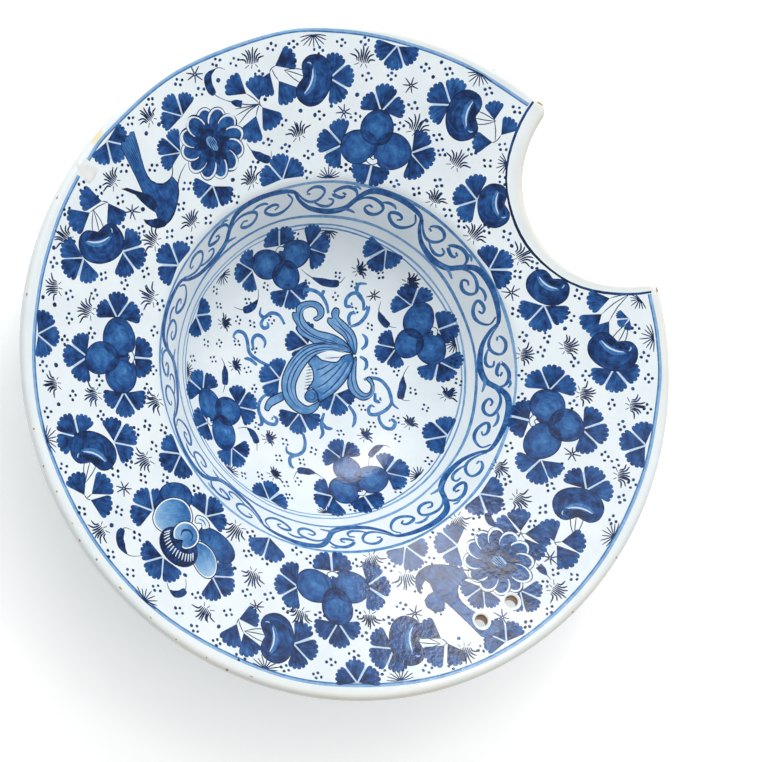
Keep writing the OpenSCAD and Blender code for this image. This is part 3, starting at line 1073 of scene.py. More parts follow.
# %% Motifs in the well
def in_well(x, y, turn=0.0):
    """A place on the floor of the well, with up away from its middle."""
    return on_ledge(math.degrees(math.atan2(y, x)), math.hypot(x, y), turn)


# places in the well are plain millimetres across the plan
WELL_SIZE = 0.8
WELL_GRASS_SIZE = 0.72
WELL_TREFOILS = [(9.8, 43.6), (-43.4, 11.4), (42.2, -10.8), (-7.2, -43.0)]
for x, y in WELL_TREFOILS:
    trefoil(math.degrees(math.atan2(y, x)), math.hypot(x, y), WELL_SIZE, 180, 1.1, 1.04, 11.0)
WELL_FANS = [(-27.2, 49.3), (48.2, 29.0), (-45.6, -32.4), (29.8, -47.6)]
for x, y in WELL_FANS:
    fan(in_well(x, y), 0, 0, 180, 8.8)
WELL_TUFTS = [(-10.6, 52.2), (-25.6, 38.5), (34.8, 40.0), (36.1, 22.3), (30.7, 4.8), (-36.8, -20.7),
              (-20.6, -25.3), (10.7, -29.8), (23.2, -36.9)]
for x, y in WELL_TUFTS:
    tuft(spot(x, y, chance.uniform(-25, 25)), WELL_GRASS_SIZE)
star(spot(-13.9, 38.1), WELL_SIZE)
WELL_SPRAYS = [(-45.4, 32.9), (19.2, 52.8), (54.8, 9.8), (-53.4, -14.0), (-29.4, -47.4), (46.5, -30.6),
               (11.8, -54.4)]
for x, y in WELL_SPRAYS:
    spray(in_well(x, y, 180), WELL_GRASS_SIZE)
print("fruit, fans and grass in the well:", len(marks), "marks so far")

# %% Dots and buds in the well
WELL_DOTS = [
    (-3.5, 54.4), (-19.3, 43.9), (-21.8, 33.5), (-28.5, 29.8), (-21.8, 24.8), (-32.3, 17.3), (-4.3, 30.6),
    (-13.1, 28.9), (16.5, 29.8), (26.5, 30.6), (11.5, 22.3), (32.3, 18.5), (38.6, 14.3), (34.8, 30.2),
    (21.1, 9.8), (28.6, 9.3), (24.4, -3.6), (25.3, 48.5), (32.8, 45.2), (-50.6, 20.6), (-53.6, -1.1),
    (-40.2, 1.8), (-39.3, -7.8), (-30.6, -10.7), (-34.8, -15.3), (-27.7, -2.8), (-21.8, -15.3),
    (-27.7, -20.3), (-16.4, -22.3), (-31.4, -27.3), (-49.8, -19.4), (-43.9, -20.3), (-34.3, -32.8),
    (-27.3, -33.2), (-8.9, -24), (4, -31.5), (19, -31.5), (24.4, -17.3), (25.3, -24), (28.6, -36.1),
    (30.7, -30.7), (33.2, -38.6), (20.3, -43.2), (15.3, -25.3), (16.5, -49.8), (-13.5, -52.3),
    (-32.3, -41.9), (52.3, 16.8), (50.7, -20.3), (54.8, -0.7),
]
for x, y in WELL_DOTS:
    four_dots(spot(x, y, chance.uniform(-30, 30), WELL_SIZE))

# buds: half their thickness, then the path of the stem
WELL_PODS = [
    (1.4, [(-10.4, 39.4), (-7.6, 36.8), (-3.9, 36.2), (-0.4, 37.0), (1.8, 39.2)]),
    (1.5, [(-38.4, 17.8), (-33.4, 20.2), (-28.5, 24.3), (-25.6, 28.6), (-26.4, 32.0)]),
    (1.5, [(17.2, 35.0), (19.4, 31.0), (23.2, 28.0), (26.4, 24.9), (29.2, 27.4)]),
    (1.5, [(-41.0, -1.6), (-37.6, -3.6), (-36.3, -7.8), (-37.2, -11.2), (-40.2, -14.4)]),
    (1.3, [(40.0, 9.4), (38.0, 8.0), (37.6, 4.4), (38.6, 0.6), (41.2, -2.4)]),
    (1.4, [(-26.2, -29.6), (-23.2, -29.8), (-19.8, -31.8), (-16.6, -34.0), (-14.4, -36.6)]),
    (1.4, [(0.4, -39.4), (2.2, -35.8), (6.0, -35.0), (9.4, -35.8), (12.0, -37.8)]),
    (1.4, [(35.2, -21.0), (32.2, -22.2), (29.6, -24.8), (27.4, -28.0), (29.0, -31.8)]),
]
for fat, path in WELL_PODS:
    pod(centre, path, fat)
print("the well's floor is painted:", len(marks), "marks")

# %% [markdown]
# ## The lily in the middle
# The middle of the floor has one large curling lily in a pale wash with a dark outline, four fans of leaves
# behind it, and tendrils that roll up at their ends. Nothing in the flower repeats, so its outlines are
# drawn point by point.

# %% Tendrils and leaves of the lily
TENDRILS = [
    [(-8.5, 23.9), (-7.7, 27.7), (-8.9, 31.8), (-11.4, 34.3), (-11.0, 32.3)],
    [(-11.0, 31.8), (-14.3, 33.5), (-18.5, 33.1), (-21.0, 35.2), (-19.3, 38.0)],
    [(-14.3, 33.5), (-17.7, 33.5), (-19.3, 31.0), (-18.5, 28.1), (-16.4, 26.8), (-15.2, 28.5), (-16.4, 29.3)],
    [(-9.0, 24.0), (-11.6, 25.0), (-12.8, 27.0), (-11.6, 28.6)],
    [(1.5, 22.7), (1.1, 25.2), (-1.0, 26.8), (-3.5, 26.4)],
    [(3.6, 20.6), (6.0, 21.8), (8.2, 20.8), (9.0, 18.9)],
    [(12.3, 16.8), (12.8, 19.3), (15.7, 22.3), (19.8, 23.1), (23.2, 22.3), (26.5, 21.0), (29.4, 21.8)],
    [(22.3, 22.7), (25.7, 21.0), (26.9, 17.7), (26.5, 13.5), (24.8, 11.0), (22.8, 11.8), (22.3, 13.5),
     (23.6, 14.2)],
    [(26.5, 14.3), (29.0, 12.7), (32.3, 12.7), (34.4, 14.8), (33.2, 17.3), (31.1, 16.8), (31.5, 15.6)],
    [(19.0, 17.7), (21.5, 16.0), (22.8, 17.3), (21.5, 18.5)],
    [(-17.7, 18.9), (-21.0, 20.2), (-25.2, 20.2), (-28.5, 18.5), (-30.6, 15.6), (-29.3, 13.9)],
    [(-25.2, 20.2), (-26.4, 22.3)],
    [(-23.5, 1.0), (-27.7, 1.0), (-30.2, -1.5), (-30.2, -4.8), (-32.3, -5.7), (-34.3, -4.0)],
    [(-30.2, -4.8), (-28.9, -7.3), (-26.8, -7.3), (-26.4, -5.3), (-28.1, -4.8)],
    [(-11.8, -12.3), (-14.3, -14.4), (-17.7, -16.5), (-21.8, -17.8), (-26.0, -16.1), (-29.3, -15.7),
     (-31.4, -17.8), (-30.6, -20.3), (-28.9, -19.8)],
    [(-21.8, -15.7), (-25.2, -14.0), (-26.0, -11.5), (-24.3, -9.8), (-21.8, -9.8), (-20.2, -11.5)],
    [(-16.0, -17.8), (-19.3, -19.0), (-21.0, -21.0)],
    [(-3.5, -18.2), (-4.3, -22.3), (-2.7, -26.0), (0.7, -27.8), (4.8, -27.3), (7.3, -24.8), (6.1, -22.8),
     (4.4, -23.6), (5.3, -24.8)],
    [(0.7, -27.8), (4.0, -29.0), (4.4, -30.7)],
    [(16.5, -16.9), (19.8, -18.2), (22.3, -21.0), (21.9, -24.8), (19.0, -26.9), (16.9, -25.7)],
    [(22.3, -24.0), (21.5, -27.3), (24.0, -29.0), (25.7, -28.6)],
    [(14.4, -4.8), (17.3, -8.2), (20.7, -9.8), (21.9, -12.3)],
    [(16.5, -7.8), (19.8, -7.3), (21.5, -5.3)],
    [(17.3, 5.6), (21.5, 5.6), (24.0, 3.9), (25.3, 1.8)],
]
for path in TENDRILS:
    stroke(centre, path, 1.5, 0.6, 4, (0.7, 0.35))

# fans behind the lily: place, heading and size
LILY_FANS = [(-11.5, 5.0, -135, 9.6), (10.4, 3.6, 110, 9.0), (-6.4, -12.6, -130, 9.0), (9.0, -13.4, 130, 9.2)]
for x, y, heading, size in LILY_FANS:
    fan(centre, x, y, heading, size)
print("tendrils and leaves of the lily:", len(marks), "marks so far")

# %% Petals of the lily
# outlines of the petals, from the back of the flower to the front
LILY = [
    # the small leaf that curls at the top left
    [(1.9, 19.3), (-1.4, 22.5), (-6.0, 23.8), (-11.0, 22.8), (-14.2, 21.8), (-15.6, 23.0), (-17.0, 23.5),
     (-18.2, 22.3), (-17.2, 20.2), (-15.3, 19.3), (-16.2, 18.0), (-14.7, 16.8), (-10.8, 17.7),
     (-6.7, 19.2), (-2.3, 19.3)],
    # the large leaf that curls to the left
    [(1.5, 18.9), (-3.5, 18.9), (-7.7, 17.3), (-11.0, 14.8), (-14.3, 11.4), (-18.1, 9.5), (-21.8, 9.2),
     (-24.2, 10.8), (-23.9, 13.9), (-21.8, 15.6), (-19.3, 14.8), (-19.3, 12.7), (-17.8, 13.1),
     (-17.8, 16.4), (-20.2, 18.3), (-23.5, 17.7), (-26.0, 14.8), (-27.2, 11.0), (-26.5, 8.7),
     (-25.0, 7.7), (-25.7, 6.4), (-23.5, 5.3), (-20.6, 5.3), (-18.9, 4.2), (-16.0, 4.7), (-13.1, 6.4),
     (-10.0, 7.7), (-7.7, 11.0), (-4.3, 14.3), (-1.0, 17.3)],
    # the leaf that curls to the right
    [(2.8, 19.3), (6.9, 16.4), (10.7, 13.9), (14.4, 13.1), (17.2, 14.3), (17.3, 16.4), (15.3, 18.1),
     (12.8, 17.8), (12.3, 19.3), (14.4, 19.6), (17.3, 18.5), (19.2, 16.0), (19.2, 12.7), (17.3, 10.6),
     (13.6, 9.3), (9.8, 10.2), (6.5, 13.5), (3.6, 16.8)],
    # the small leaf under the flower
    [(-1.4, -14.6), (1.1, -15.4), (0.7, -21.5), (1.5, -24.0), (-0.2, -24.7), (-2.3, -21.5), (-2.3, -18.2)],
    # the cup of the flower
    [(1.9, 18.3), (5.3, 15.6), (8.2, 10.6), (9.8, 4.3), (10.0, -1.1), (9.5, -3.8), (5.7, -3.0),
     (3.3, -3.6), (3.0, -5.7), (1.1, -1.1), (-2.7, 1.0), (-5.7, 1.0), (-6.4, 5.2), (-3.5, 6.4),
     (0.3, 11.0), (-0.3, 14.3), (0.3, 16.8)],
    # the front petal that sweeps down and hooks back up
    [(0.3, 18.1), (-3.5, 14.3), (-5.7, 10.2), (-6.7, 5.2), (-5.8, 0.2), (-3.7, -4.8), (-0.8, -8.8),
     (3.2, -10.8), (6.1, -10.5), (8.6, -9.0), (9.2, -6.1), (9.7, -3.6), (11.3, -5.7), (11.8, -9.0),
     (10.5, -12.3), (6.9, -14.7), (2.3, -15.7), (-1.8, -14.7), (-5.6, -12.3), (-8.5, -8.6), (-10.7, -4.0),
     (-11.8, 1.0), (-11.4, 5.2), (-9.3, 10.2), (-6.0, 15.2), (-2.3, 18.1)],
]
LILY_TONES = (0.62, 0.64, 0.62, 0.6, 0.7, 0.6)
LILY_PALES = (0.24, 0.26, 0.24, 0.2, 0.34, 0.26)
LILY_HOLLOW = [(-5.5, 8.0), (-6.8, 2.0), (-4.0, -5.4), (0.6, -10.4), (6.0, -9.8), (7.0, -3.0), (2.0, 2.0),
               (-0.6, 15.0)]
lay(LILY_HOLLOW, 0.03)
for i in range(8):
    x = -4.6 + 0.95 * i
    stroke(centre, [(x, -0.6 - 0.85 * i), (x + 1.2, 1.6 - 0.7 * i)], 0.4, 0.97, 2)
for petal, tone, pale in zip(LILY, LILY_TONES, LILY_PALES):
    blank(centre, petal)
    fruit(centre, petal, tone, pale, 0.5)
print("petals of the lily:", len(marks), "marks so far")

# %% Streaks on the petals
LILY_STREAKS = [
    [(-2.0, 16.4), (-7.2, 10.2), (-9.2, 4.0), (-8.6, -2.0), (-6.0, -8.0), (-1.6, -12.4), (4.0, -13.2),
     (9.0, -11.0)],
    [(-1.6, 15.6), (-5.8, 11.0), (-8.0, 5.0), (-7.4, -1.0), (-5.0, -6.6), (-1.2, -10.8), (4.0, -12.0)],
    [(-3.4, 16.8), (-8.6, 10.4), (-10.6, 4.0), (-10.0, -2.4), (-7.2, -8.6)],
    [(-1.4, 18.0), (-7.2, 14.6), (-12.5, 9.8), (-18.0, 7.2), (-22.4, 7.6), (-25.2, 10.6), (-24.8, 14.2)],
    [(-2.4, 17.2), (-8.0, 12.8), (-13.6, 8.0), (-18.6, 5.8), (-22.6, 6.4)],
    [(0.0, 20.2), (-5.0, 22.0), (-10.6, 20.8), (-15.2, 20.4)],
    [(-3.0, 20.0), (-8.0, 20.6), (-13.0, 18.6)],
    [(3.6, 17.8), (8.2, 13.2), (13.6, 11.2), (17.8, 12.8), (18.2, 16.0), (15.8, 18.6)],
    [(2.8, 16.0), (5.8, 10.0), (7.6, 3.0), (7.8, -2.4)],
    [(1.8, 14.4), (3.8, 8.0), (4.8, 2.0), (4.2, -2.4)],
    [(1.4, 11.6), (1.6, 6.0), (1.6, 1.4)],
    [(-0.6, 8.8), (-0.8, 4.8), (-1.6, 1.8)],
]
for path in LILY_STREAKS:
    beside = [(x + 0.7, y + 0.5) for x, y in path]
    stroke(centre, beside, 0.7, 0.42, 4, (0.3, 0.2))
    stroke(centre, path, 0.5, 0.86, 4, (0.3, 0.2))
for i in range(4):
    stroke(centre, [(-3.6 + 0.9 * i, 8.0 + 1.6 * i), (-1.6 + 0.6 * i, 11.0 + 1.4 * i)], 0.35, 0.95, 2)
fruit(centre, oval(6.1, -5.4, 2.7, 2.7), 0.66)
stroke(centre, [(4.6, -5.0), (5.6, -3.9), (7.2, -4.4), (7.4, -6.0), (6.2, -6.6)], 0.35, 0.95)
print("the painting has", len(marks), "marks")

# %% [markdown]
# ## Wear on the edges
# The glaze has chipped off the horns and off small places along the rim, and the bare clay there is brown
# with age. The chips are too shallow to need dents, so they are marks like the painting. A density below
# zero stands for bare clay, so the same material can show it.

# %% Chips
BARE = -1.0
STAIN = -0.3
# chips on the horns: place, half length, half width and turn
HORN_CHIPS = [(42.8, 121.9, 1.5, 0.6, -40), (40.4, 122.3, 1.0, 0.4, 20), (-43.0, 121.6, 1.7, 0.6, 40),
              (-40.2, 122.3, 1.1, 0.4, -10)]
for x, y, rx, ry, turn in HORN_CHIPS:
    lay(ellipse(centre, x, y, rx, ry, turn, 12, 0.12), BARE)

# small chips along the rim: a few alone, and a row on the side that was handled
CHIP_R = 128.6
LONE_CHIPS = [119.8, 210.9, 228.0, 8.4, 21.0]
worn_side = [250 + 5.2 * i + chance.uniform(-2, 2) for i in range(12)]
for angle in LONE_CHIPS + worn_side:
    at = on_ledge(angle, CHIP_R + chance.uniform(-0.4, 1.0))
    lay(ellipse(at, 0, 0, chance.uniform(0.25, 0.9), chance.uniform(0.15, 0.4), 0, 8, 0.15), BARE)
# a yellow stain on the rim, beside the filled chip
lay(ellipse(on_ledge(-161.8, 128.5), 0, 0, 3.2, 1.1, 0, 14, 0.12), STAIN)

# the glaze is left white round the cord holes
HOLE_WHITE_R = 3.6
for x, y in holes:
    lay(ellipse(centre, x, y, HOLE_WHITE_R, HOLE_WHITE_R, 0, 18, 0.02), 0.0)
print("with wear:", len(marks), "marks")

# %% [markdown]
# ## Cutting the front along the brush marks
# Boolean cuts with thousands of outlines would be slow. A constrained triangulation takes all outlines at
# once and returns triangles that never cross one. It also says which outlines hold each triangle. The last
# mark laid down is the one that shows, and where two thin washes lie over each other the colour is darker,
# as with real cobalt.

# %% Triangles of the front
plan_points = []
plan_edges = []
plan_faces = []


def add_loop(points):
    """Add a closed line that no triangle may cross."""
    first = len(plan_points)
    plan_points.extend(Vector(point) for point in points)
    for i in range(len(points)):
        plan_edges.append((first + i, first + (i + 1) % len(points)))


# lines that follow the rounded edge, the soft rim of each cord hole and the mouth
EDGE_STEPS = 7
edge_points = []
for k in range(EDGE_STEPS + 1):
    loop = outline(EDGE_ROUND * (1 - math.cos(math.pi / 2 * k / EDGE_STEPS)))
    add_loop(loop)
    if k > 0:
        edge_points.extend(loop)
HOLE_STEPS = 20
HOLE_LINES = (HOLE_R, 2.8, 3.1, HOLE_SOFT_R)
for hole in holes:
    out = Vector(hole).normalized()
    for r in HOLE_LINES:
        loop = []
        for i in range(HOLE_STEPS):
            a = 2 * math.pi * i / HOLE_STEPS
            along = r * math.cos(a) / math.sqrt(1 + LEDGE_RISE ** 2)
            beside = r * math.sin(a)
            loop.append((hole[0] + out.x * along - out.y * beside, hole[1] + out.y * along + out.x * beside))
        add_loop(loop)
MOUTH_STEPS = 180
add_loop(arc(0, 0, mouth_end, 0, 360, MOUTH_STEPS)[:-1])
print("drawn lines:", len(plan_edges), "edges")

# %% Plain points and the cut
# rings of plain points, closer together where the mouth's edge turns, and clear of the drawn lines
GRID_STEP = 3
CLEAR = 0.5
WELL_GRID_END = 72
MOUTH_RADII = [71.5, 72.5, 73.5, 74.4]
LEDGE_GRID_START = 78
LEDGE_GRID_END = 129
FEWEST_ON_RING = 8
MOST_ON_RING = 150
well_radii = list(range(GRID_STEP, WELL_GRID_END, GRID_STEP))
ledge_radii = list(range(LEDGE_GRID_START, LEDGE_GRID_END, GRID_STEP))
sparse_points = [(0.0, 0.0)]
for radius in well_radii + MOUTH_RADII + ledge_radii:
    count = max(FEWEST_ON_RING, min(MOST_ON_RING, round(radius * 2)))
    for x, y in arc(0.0, 0.0, radius, 0, 360, count)[:-1]:
        near_hole = nearest_hole(x, y, holes) < HOLE_SOFT_R + CLEAR
        if edge_gap(x, y) > EDGE_ROUND + CLEAR and not near_hole:
            sparse_points.append((x, y))
plan_points.extend(Vector(point) for point in sparse_points)
for points, *_ in marks:
    first = len(plan_points)
    plan_points.extend(Vector(point) for point in points)
    plan_faces.append(list(range(first, first + len(points))))

# points nearer than this are taken as one
SAME_POINT = 1e-5
cut = geometry.delaunay_2d_cdt(plan_points, plan_edges, plan_faces, 0, SAME_POINT)
cut_points, _, front_triangles, _, _, front_holders = cut
front_points = [(p.x, p.y) for p in cut_points]
print("cut", len(plan_points), "points into", len(front_triangles), "triangles")


# %% Density at each corner
SHOW_THROUGH = 0.62
PLAIN_BRUSH = 0.5
mark_boxes = []
for points, *_ in marks:
    xs = [p[0] for p in points]
    ys = [p[1] for p in points]
    mark_boxes.append((min(xs), max(xs), min(ys), max(ys)))


def in_box(mark, x, y):
    """Whether a point lies in the box round a mark."""
    left, right, low, high = mark_boxes[mark]
    return left <= x <= right and low <= y <= high


def middle_of(corners):
    """The middle of a triangle."""
    return (sum(p[0] for p in corners) / 3, sum(p[1] for p in corners) / 3)


def paint_at(holders, corners):
    """Density and brush direction at the corners of one triangle, from the marks that hold it."""
    inside = [mark for mark in holders if in_box(mark, *middle_of(corners))]
    if not inside:
        return [(0.0, (x, y, 0.0)) for x, y in corners]
    result = []
    for x, y in corners:
        shown = 0.0
        for mark in sorted(inside):
            _, density, brush, wash, seed = marks[mark]
            value = density(x, y) if callable(density) else density
            shown = 1 - (1 - value) * (1 - SHOW_THROUGH * shown) if wash else value
        u, v = brush(x, y) if brush else (x * PLAIN_BRUSH, y * PLAIN_BRUSH)
        result.append((shown, (u, v, seed)))
    return result


print("density rules ready for", len(mark_boxes), "marks")

# %% Triangles of the well and of the ledge
# a triangle's middle may lie this close to the hole's circle, which is drawn with straight steps
IN_HOLE_R = HOLE_R * 0.99
well_faces = []
ledge_faces = []
for triangle, holders in zip(front_triangles, front_holders):
    corners = [front_points[i] for i in triangle]
    cx, cy = middle_of(corners)
    if edge_gap(cx, cy) <= 0 or nearest_hole(cx, cy, holes) < IN_HOLE_R:
        continue
    face = (triangle, paint_at(holders, corners))
    if math.hypot(cx, cy) < mouth_end:
        well_faces.append(face)
    else:
        ledge_faces.append(face)
print("well", len(well_faces), "triangles, ledge", len(ledge_faces))

# %% [markdown]
# ## From plan to solid shells
# The ledge becomes one closed shell: the painted triangles lifted to the front, a plain underside, and
# small walls at the mouth and in the cord holes. Solidify could add a back, but here both faces have to
# meet in one line of points along the outline. The well is a thin shell of glaze. The normals come from the
# heights themselves, so the reflections run smoothly over the cuts.


# %% Underside from the front's border
def slid_under(x, y):
    """Where a point of the front comes out at the back: straight below, or along the bore in a cord hole."""
    for hole in holes:
        if hole_distance(x, y, hole) < HOLE_SOFT_R:
            out = Vector(hole).normalized() * BODY_T * math.sin(LEDGE_SLOPE)
            return (x + out.x, y + out.y)
    return (x, y)


def around(triangle):
    """The three edges of a triangle, each as a set, so that its direction doesn't matter."""
    return [frozenset(edge) for edge in zip(triangle, triangle[1:] + triangle[:1])]


def kept_triangles(net, region):
    """Triangles of each area between the drawn lines whose widest triangle lies in the region."""
    places, edges, triangles, _, edge_origins, _ = net
    drawn = {frozenset(edge) for edge, origins in zip(edges, edge_origins) if origins}
    sharing = {}
    for t, triangle in enumerate(triangles):
        for edge in around(triangle):
            sharing.setdefault(edge, []).append(t)
    kept = []
    waiting = set(range(len(triangles)))
    while waiting:
        area = [waiting.pop()]
        for t in area:
            for edge in around(triangles[t]):
                beyond = [] if edge in drawn else [other for other in sharing[edge] if other in waiting]
                area.extend(beyond)
                waiting.difference_update(beyond)
        widest = max(area, key=lambda t: geometry.area_tri(*[places[i].to_3d() for i in triangles[t]]))
        middle = sum((places[i] for i in triangles[widest]), Vector((0, 0))) / 3
        if region(*middle):
            kept.extend(triangles[t] for t in area)
    return kept


print("underside rules ready")

# %% Paint on a shell
# how far in from the edge a point remembers its distance
EDGE_REACH = 30.0
# the front fills the bake map with a small margin, and the plain back shares a small patch in its corner
BAKE_MARGIN = 1.02
PATCH_MIDDLE = 0.075
PATCH_SIZE = 0.14
# the walls of a cord hole lie within this distance of its axis
HOLE_WALL_R = HOLE_SOFT_R + 2


def write_paint(mesh, points, paint, edge_values, wall_start):
    """Store the paint of the front's corners, bare clay in the cord holes and the places for baking."""
    ink = mesh.attributes.new("ink", "FLOAT", "CORNER")
    brush = mesh.attributes.new("brush", "FLOAT_VECTOR", "CORNER")
    edge = mesh.attributes.new("edge", "FLOAT", "POINT")
    bake = mesh.uv_layers.new(name="OFBake")
    edge.data.foreach_set("value", edge_values)
    across = 2 * BAKE_MARGIN * max(math.hypot(p[0], p[1]) for p in points)
    for polygon in mesh.polygons:
        polygon.use_smooth = True
        for loop in polygon.loop_indices:
            x, y, _ = points[mesh.loops[loop].vertex_index]
            u = x / across
            v = y / across
            if loop < len(paint):
                ink.data[loop].value, brush.data[loop].vector = paint[loop]
                bake.data[loop].uv = (0.5 + u, 0.5 + v)
                continue
            in_hole = nearest_hole(x / MM, y / MM, holes) < HOLE_WALL_R
            ink.data[loop].value = BARE if in_hole and polygon.index >= wall_start else 0.0
            brush.data[loop].vector = (x / MM, y / MM, 0.0)
            bake.data[loop].uv = (PATCH_MIDDLE + u * PATCH_SIZE, PATCH_MIDDLE + v * PATCH_SIZE)


print("paint rules ready")


# %% Shell from triangles
# a border point this close to the outline is shared by the front and the underside
ON_OUTLINE = 1e-3
# points of the underside nearer than this are taken as one
SAME_UNDER = 1e-6


def glazed_shell(name, faces, low_height, region):
    """Close the painted triangles into a solid, with a plain underside and bare clay in the cord holes."""
    points = []
    normals = []
    edge_values = []

    def add_point(x, y, height, side):
        points.append((x * MM, y * MM, height(x, y) * MM))
        normals.append(surface_normal(height, x, y, side))
        edge_values.append(min(max(edge_gap(x, y), 0.0), EDGE_REACH))
        return len(points) - 1

    index = {}
    polygons = []
    paint = []
    edges = set()
    for triangle, corner_paint in faces:
        for i in triangle:
            if i not in index:
                index[i] = add_point(*front_points[i], front_height, 1)
        polygons.append([index[i] for i in triangle])
        paint.extend(corner_paint)
        edges.update(zip(triangle, triangle[1:] + triangle[:1]))

    border = [edge for edge in edges if (edge[1], edge[0]) not in edges]
    border_ids = sorted({i for edge in border for i in edge})
    place = {i: k for k, i in enumerate(border_ids)}
    low_plan = [slid_under(*front_points[i]) for i in border_ids]
    low_plan += [p for p in sparse_points + edge_points if region(*p)]
    low_edges = [(place[a], place[b]) for a, b in border]
    under = geometry.delaunay_2d_cdt([Vector(p) for p in low_plan], low_edges, [], 1, SAME_UNDER)
    under_points, _, _, under_origins, _, _ = under
    low_index = []
    for p, origins in zip(under_points, under_origins):
        if origins[0] < len(border_ids) and edge_gap(p.x, p.y) < ON_OUTLINE:
            low_index.append(index[border_ids[origins[0]]])
        else:
            low_index.append(add_point(p.x, p.y, low_height, -1))
    for a, b, c in kept_triangles(under, region):
        polygons.append([low_index[c], low_index[b], low_index[a]])

    wall_start = len(polygons)
    by_origin = {origin: k for k, origins in enumerate(under_origins) for origin in origins}
    for a, b in border:
        low_a = low_index[by_origin[place[a]]]
        low_b = low_index[by_origin[place[b]]]
        wall = list(dict.fromkeys([index[b], index[a], low_a, low_b]))
        if len(wall) > 2:
            polygons.append(wall)

    mesh = bpy.data.meshes.new(name)
    mesh.from_pydata(points, [], polygons)
    piece = bpy.data.objects.new(name, mesh)
    bpy.context.collection.objects.link(piece)
    write_paint(mesh, points, paint, edge_values, wall_start)
    mesh.normals_split_custom_set_from_vertices(normals)
    mesh.validate()
    print(name, len(mesh.polygons), "faces")
    return piece


# %% Painted ledge and painted well
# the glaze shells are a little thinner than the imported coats
SHELL_T = 0.35
# a point of the well's underside stays this share inside the mouth
WITHIN = 0.9999
back_holes = [slid_under(*hole) for hole in holes]


def thin_glaze(x, y):
    """Height of the underside of the glaze in the well."""
    radius = math.hypot(x, y)
    return upper_face(radius) - SHELL_T * math.sqrt(1 + upper_slope(radius) ** 2)


def under_ledge(x, y):
    """Whether a point in plan lies under the ledge, clear of the cord holes."""
    on_clay = edge_gap(x, y) > 0 and math.hypot(x, y) > mouth_end
    return on_clay and nearest_hole(x, y, back_holes) > IN_HOLE_R


def under_well(x, y):
    """Whether a point in plan lies inside the mouth."""
    return math.hypot(x, y) < mouth_end * WITHIN


painted_ledge = glazed_shell("painted_ledge", ledge_faces, back_height, under_ledge)
painted_well = glazed_shell("painted_well", well_faces, thin_glaze, under_well)
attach(painted_ledge, "root")
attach(painted_well, "root")
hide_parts("ledge_glaze", "lip_glaze", "notch_edge")
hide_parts("well_glaze")

# %% [markdown]
# ## The plain back
# The back was dipped in the same white glaze and left unpainted. It is a turned shape, so its section is
# drawn once and spun round the axis. The foot ring stands bare where the glaze was wiped off before firing.


# %% Faces outwards
def turn_outwards(piece, sharp):
    """Turn a piece's faces outwards and shade it smooth up to an angle in degrees."""
    bpy.ops.object.select_all(action="DESELECT")
    bpy.context.view_layer.objects.active = piece
    piece.select_set(True)
    bpy.ops.object.mode_set(mode="EDIT")
    bpy.ops.mesh.select_all(action="SELECT")
    bpy.ops.mesh.normals_make_consistent(inside=False)
    bpy.ops.object.mode_set(mode="OBJECT")
    bpy.ops.object.shade_smooth_by_angle(angle=math.radians(sharp))
    piece.select_set(False)


print("rule for outward faces ready")

# %% Spun pieces
SPIN_STEPS = 160
# points of a spun piece nearer than this are taken as one
SAME_SPUN = 0.002
# an edge of a spun piece stays sharp past this angle in degrees
SPUN_SHARP = 35


def spun(name, section):
    """Spin a closed section, given as radius and height, into a turned piece."""
    bpy.ops.object.select_all(action="DESELECT")
    mesh = bpy.data.meshes.new(name)
    count = len(section)
    edges = [(i, (i + 1) % count) for i in range(count)]
    mesh.from_pydata([(r * MM, 0, z * MM) for r, z in section], edges, [])
    piece = bpy.data.objects.new(name, mesh)
    bpy.context.collection.objects.link(piece)
    bpy.context.view_layer.objects.active = piece
    piece.select_set(True)
    bpy.ops.object.mode_set(mode="EDIT")
    bpy.ops.mesh.select_all(action="SELECT")
    bpy.ops.mesh.spin(steps=SPIN_STEPS, angle=2 * math.pi, center=(0, 0, 0), axis=(0, 0, 1))
    bpy.ops.mesh.select_all(action="SELECT")
    bpy.ops.mesh.remove_doubles(threshold=SAME_SPUN * MM)
    bpy.ops.object.mode_set(mode="OBJECT")
    turn_outwards(piece, SPUN_SHARP)
    print(name, len(mesh.polygons), "faces")
    return piece


def back_line(start, end, steps, lift=0.0):
    """Points along the underside between two radii, raised into the clay by a lift."""
    points = []
    for i in range(steps + 1):
        radius = start + (end - start) * i / steps
        points.append((radius, lower_face(radius) + lift))
    return points


print("spinning ready")

# %% Back, base and foot
FOOT_R = 44.0
FOOT_IN_R = 37.0
FOOT_BARE = 2.0
FOOT_ROUND = 1.2
GLAZE_T = 0.4
# the glaze laps this far over the clay, and thins to a soft lip where it was wiped off
LAP = 0.2
LIP = GLAZE_T * 0.6

skirt_r = FOOT_R + GLAZE_T
skirt_top = lower_face(FOOT_R + 1.4)
back_section = [(FOOT_R - LAP, FOOT_BARE + 0.1), (FOOT_R + LIP, FOOT_BARE), (skirt_r, FOOT_BARE + 0.5)]
back_section += [(skirt_r, skirt_top - 1.4), (skirt_r + 0.4, skirt_top - 0.4)]
back_section += back_line(FOOT_R + 1.6, mouth_end, 40)
back_section += back_line(mouth_end, FOOT_R - LAP, 40, SHELL_T)
glazed_back = spun("glazed_back", back_section)

base_r = FOOT_IN_R - GLAZE_T
base_top = lower_face(FOOT_IN_R)
base_section = back_line(0.0, FOOT_IN_R - 1.6, 16)
base_section += [(base_r - 0.4, base_top - 0.5), (base_r, base_top - 1.4)]
base_section += [(base_r, FOOT_BARE + 0.5), (FOOT_IN_R - LIP, FOOT_BARE), (FOOT_IN_R + LAP, FOOT_BARE + 0.1)]
base_section += back_line(FOOT_IN_R + LAP, 0.0, 16, SHELL_T)
glazed_base = spun("glazed_base", base_section)

